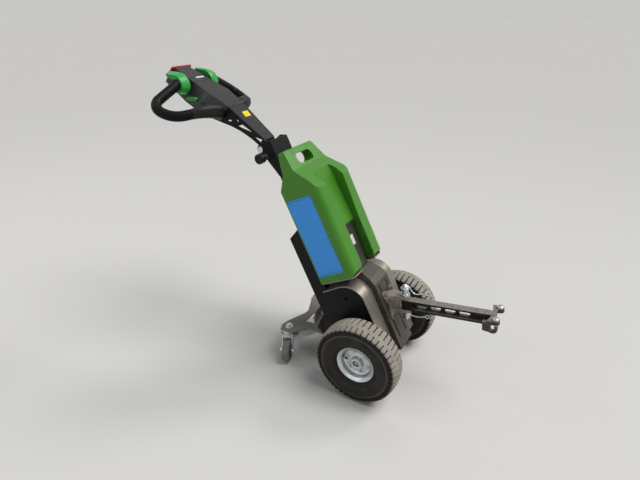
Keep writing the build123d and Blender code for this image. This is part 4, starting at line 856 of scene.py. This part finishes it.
rim_section = half_rim + disc_and_hub + [(r, -o) for r, o in half_rim[::-1]] + bead_seat
print("rims: section of", len(rim_section), "points")

# %% [markdown]
# Small parts make the wheel look real. Six nuts stand on the disc, the valve's rubber foot comes
# through it between two of them, and the axle ends a little way inside the hub with a screw. All
# of them are turned, like the rim; a nut is the same form with only six sides.

# %% Rims, nuts, valves and axle ends
NUT_CIRCLE, NUT_FLATS, NUT_HEIGHT = 36.5, 9.0, 4.2
DISC_FACE = 178.8
VALVE_AT = (-39.5, 133.0)
VALVE = [(0, -1), (5.8, -1), (5.8, 0.5), (5.2, 1.3), (3.7, 1.7), (3.4, 2.8), (2.6, 3.4), (0, 3.4)]
AXLE_END = [(0, 62), (9, 62), (10, 63), (10, 187), (9.2, 187.8), (0, 187.8)]
SCREW = [(0, 186), (5.2, 186), (5.2, 190.2), (4.4, 191.4), (2.2, 191.4), (1.4, 190.2), (0, 190.2)]


def joined(shapes):
    """Several (points, faces) shapes as one: each one's corners count on from the last."""
    starts = np.cumsum([0] + [len(points) for points, _ in shapes[:-1]])
    faces = [
        tuple(int(corner) + start for corner in face)
        for (_, rows), start in zip(shapes, starts) for face in rows]
    return np.concatenate([points for points, _ in shapes]), faces


def nut_on_stud(centre, axis, flats, height):
    """A six-sided nut with chamfered corners and the rounded end of its stud."""
    corner, thread = flats / math.sqrt(3.0), flats * 0.29
    nut = [(0, 0), (corner, 0), (corner, height - 0.6), (corner * 0.9, height), (0, height)]
    stud = [(0, 0), (thread, 0), (thread, height + 1.4), (flats * 0.2, height + 2.1), (0, height + 2.2)]
    return [turned(nut, 6, centre, axis), turned(stud, 12, centre, axis)]


around = np.radians(np.arange(6) * 60.0 - 12.0)
for hand, side in (("right", -1.0), ("left", 1.0)):
    wheel, outwards, axle_middle = f"wheel_{hand}", (0, side, 0), millimetres(0, 0, AXLE_HEIGHT)
    hub = millimetres(0, side * WHEEL_MIDDLE, AXLE_HEIGHT)
    rim_shape = turned_ring(rim_section, 96, hub, outwards)
    rim = make_piece(f"pressed_rim_{hand}", *rim_shape, rim_zinc, wheel, "zinc", sharp=38)
    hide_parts(f"drive_rim_{hand}")
    spots = millimetres(
        NUT_CIRCLE * np.cos(around), side * DISC_FACE, AXLE_HEIGHT + NUT_CIRCLE * np.sin(around))
    nuts = joined([
        shape for spot in spots for shape in nut_on_stud(spot, outwards, NUT_FLATS, NUT_HEIGHT)])
    make_piece(f"rim_nuts_{hand}", *nuts, bolt_steel, wheel, "zinc", sharp=30)
    valve = turned(VALVE, 20, millimetres(VALVE_AT[0], side * DISC_FACE, VALVE_AT[1]), outwards)
    make_piece(f"tyre_valve_{hand}", *valve, grip_black, wheel, "tyre_black", sharp=40)
    axle = turned(AXLE_END, 40, axle_middle, outwards)
    axle_piece = make_piece(f"axle_end_{hand}", *axle, shaft_brass, wheel, "shaft_brass", sharp=30)
    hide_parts(f"stub_shaft_{hand}")
    screw = turned(SCREW, 24, axle_middle, outwards)
    make_piece(f"axle_screw_{hand}", *screw, bolt_steel, wheel, "shaft_brass", sharp=30)
print("rim, nuts, valve, axle end and screw on each wheel")

# %% [markdown]
# A plain blue label covers most of the battery's near side. It is a thin printed film, so it is a
# sheet of points with rounded corners, lifted 0.3 mm off the case. A darker line runs round it just
# inside the edge, drawn by the distance from the border that the mesh carries as an attribute.

# %% Blank labels
FILM_RINGS = np.array([1.0, 0.975, 0.95, 0.92, 0.60, 0.30])
CORNER_STEPS = 5


def make_film(name, corners, finish, body, slot, corner_mm):
    """Rings of the rounded border shrink to the middle; the attribute inward is 0 at the border."""
    corners = np.asarray(corners, float)
    closed = np.concatenate([corners[-1:], corners, corners[:1]])
    border = rounded_path(closed, corner_mm / 1000.0, CORNER_STEPS)[1:-1]
    middle = border.mean(axis=0)
    rings = middle + (border - middle)[None] * FILM_RINGS[:, None, None]
    points = np.concatenate([rings.reshape(-1, 3), middle[None]])
    around = len(border)
    here, ahead, last = np.arange(around), (np.arange(around) + 1) % around, (len(rings) - 1) * around
    fan = np.stack([last + here, last + ahead, np.full(around, len(points) - 1)], axis=-1)
    faces = [face[::-1] for face in (*grid_faces(len(rings), around, close_columns=True), *fan)]
    film = make_piece(name, points, faces, finish, body, slot, smooth=False)
    inward = film.data.attributes.new("inward", "FLOAT", "POINT")
    shares = np.concatenate([np.repeat(1 - FILM_RINGS, around), [1.0]])
    inward.data.foreach_set("value", shares.astype(np.float32))
    return film


def printed_film(name, colour, line_colour=None, line_from=0.0, line_to=0.0, roughness=0.3):
    """Flat ink with a faint mottle, a line inside the border if it has a colour, and a clear coat."""
    material, tree, shader, at = start_finish(name)
    mottle = between(tree, cloud(tree, at, 20.0, 4.0), 0.3, 0.7)
    ink = tint(tree, mottle, darker(colour, 0.92), colour)
    if line_colour is not None:
        reader = tree.nodes.new("ShaderNodeAttribute")
        reader.attribute_name = "inward"
        inside = between(tree, reader.outputs["Fac"], line_from, line_from + 0.002)
        outside = between(tree, reader.outputs["Fac"], line_to, line_to + 0.002, 1.0, 0.0)
        ink = tint(tree, times(tree, inside, outside), ink, line_colour)
    tree.links.new(ink, shader.inputs["Base Color"])
    gloss = between(tree, cloud(tree, at, 60.0, 4.0), 0.3, 0.7, roughness - 0.05, roughness + 0.08)
    tree.links.new(gloss, shader.inputs["Roughness"])
    shader.inputs["Coat Weight"].default_value = 0.08
    shader.inputs["Specular IOR Level"].default_value = 0.25
    grain(tree, shader, cloud(tree, at, 300.0, 2.0), 0.05, 0.0003)
    return material


CASE_SIDE = -108.35
blue_film = printed_film("blue_film", (0.050, 0.34, 0.90), (0.012, 0.080, 0.30), 0.030, 0.041)
label_corners = on_body([0.0, 92.5, 95.0, 0.0], [CASE_SIDE] * 4, [646.0, 644.0, 388.5, 387.0])
blue_label = make_film(
    "battery_side_label", label_corners, blue_film, "chassis", "green_plastic", corner_mm=6.0)
print("label", [round(float(v), 3) for v in blue_label.dimensions])

# %% [markdown]
# The small stickers are blank too: a yellow one on the arm's cover, a white strip on the console and
# a white one on the column. The seam where the console's lid meets its base is a gap too fine to
# model, so a narrow black film is painted shade, standing in for the shadow in that gap. Each lies a
# quarter of a millimetre off its face.

# %% Small blank stickers
FILM_LIFT = 0.00025

yellow_film = printed_film("yellow_film", (0.80, 0.60, 0.020), (0.30, 0.22, 0.03), 0.060, 0.085)
white_film = printed_film("white_film", (0.62, 0.62, 0.60))
# Painted shade: near-black ink that stands in for the shadow inside the console's seam gap.
seam_shade_film = printed_film("painted_seam_shade", (0.006, 0.006, 0.006), roughness=0.7)


def sticker(name, corners, away, finish, slot, corner_mm):
    """Four corners in millimetres on the tiller, lifted a little along the way that faces away."""
    x, y, z = np.asarray(corners, float).T
    lift = np.asarray(away, float) / np.linalg.norm(away) * FILM_LIFT
    make_film(name, millimetres(x, y, z) + lift, finish, "tiller", slot, corner_mm=corner_mm)


sticker(
    "arm_sticker",
    [(-524.4, -6.5, 809.8), (-524.4, 23.0, 809.8), (-505.6, 17.0, 796.3), (-505.6, -12.5, 796.3)],
    (0.585, 0, 0.811), yellow_film, "arm_grey", 1.5)
sticker(
    "console_strip",
    [(-713.0, -3.0, 906.4), (-713.0, 31.0, 906.4), (-702.0, 31.0, 901.8), (-702.0, -9.0, 901.8)],
    (0.40, 0, 0.915), white_film, "console_grey", 1.0)
# The console's seam line is painted shade: a black film laid where the gap between lid and base is
# shadowed.
sticker(
    "console_painted_seam_shade",
    [(-684.0, -36.0, 894.75), (-684.0, 37.0, 894.75), (-682.6, 37.0, 894.2), (-682.6, -36.0, 894.2)],
    (0.37, 0, 0.93), seam_shade_film, "console_grey", 0.3)
column_corners = on_body([97.3] * 4, [-10.0, 14.0, 14.0, -10.0], [468.0, 468.0, 434.5, 434.5])
make_film("column_sticker", column_corners, white_film, "chassis", "column_dark", corner_mm=1.5)
print("small blank films: 3 stickers and a seam line")

# %% [markdown]
# The towing pin is kept from falling out by spring wires at its two ends. Each is a bent wire that
# runs forward from the pin, one above the bar and one below it, and carries a small ring to pull
# it by. Their corners are rounded, because spring wire can't be bent sharply.

# %% Retaining wires at the towing pin
WIRE_RADIUS, WIRE_BEND, WIRE_Y = 2.0, 0.006, 7.0
RING_RADIUS, RING_WIRE = 5.0, 1.3

ring_turn = np.arange(12) * 2 * math.pi / 12
ring_section = np.stack(
    [RING_RADIUS + RING_WIRE * np.cos(ring_turn), RING_WIRE * np.sin(ring_turn)], axis=-1)
wire_runs = {
    "upper_pin_wire": (
        [(69, 330), (80, 328.5), (97, 309), (108, 308), (127, 316), (137, 322)], (142.5, 322.5)),
    "lower_pin_wire": (
        [(84, 231), (92, 228), (103, 226), (121, 227.5), (143, 236)], (149, 238)),
}
for wire_name, (corners, ring_at) in wire_runs.items():
    run = np.array([(x, WIRE_Y, z) for x, z in corners])
    bent = wire(rounded_path(millimetres(*run.T), WIRE_BEND), WIRE_RADIUS, 12, (0, 1, 0))
    ring_centre = millimetres(ring_at[0], WIRE_Y, ring_at[1])
    ring = turned_ring(ring_section, 32, ring_centre, (0.25, -0.9, 0.35))
    make_piece(wire_name, *joined([bent, ring]), zinc, "drawbar_arm", "zinc", sharp=40)
print("retaining wires:", len(wire_runs))
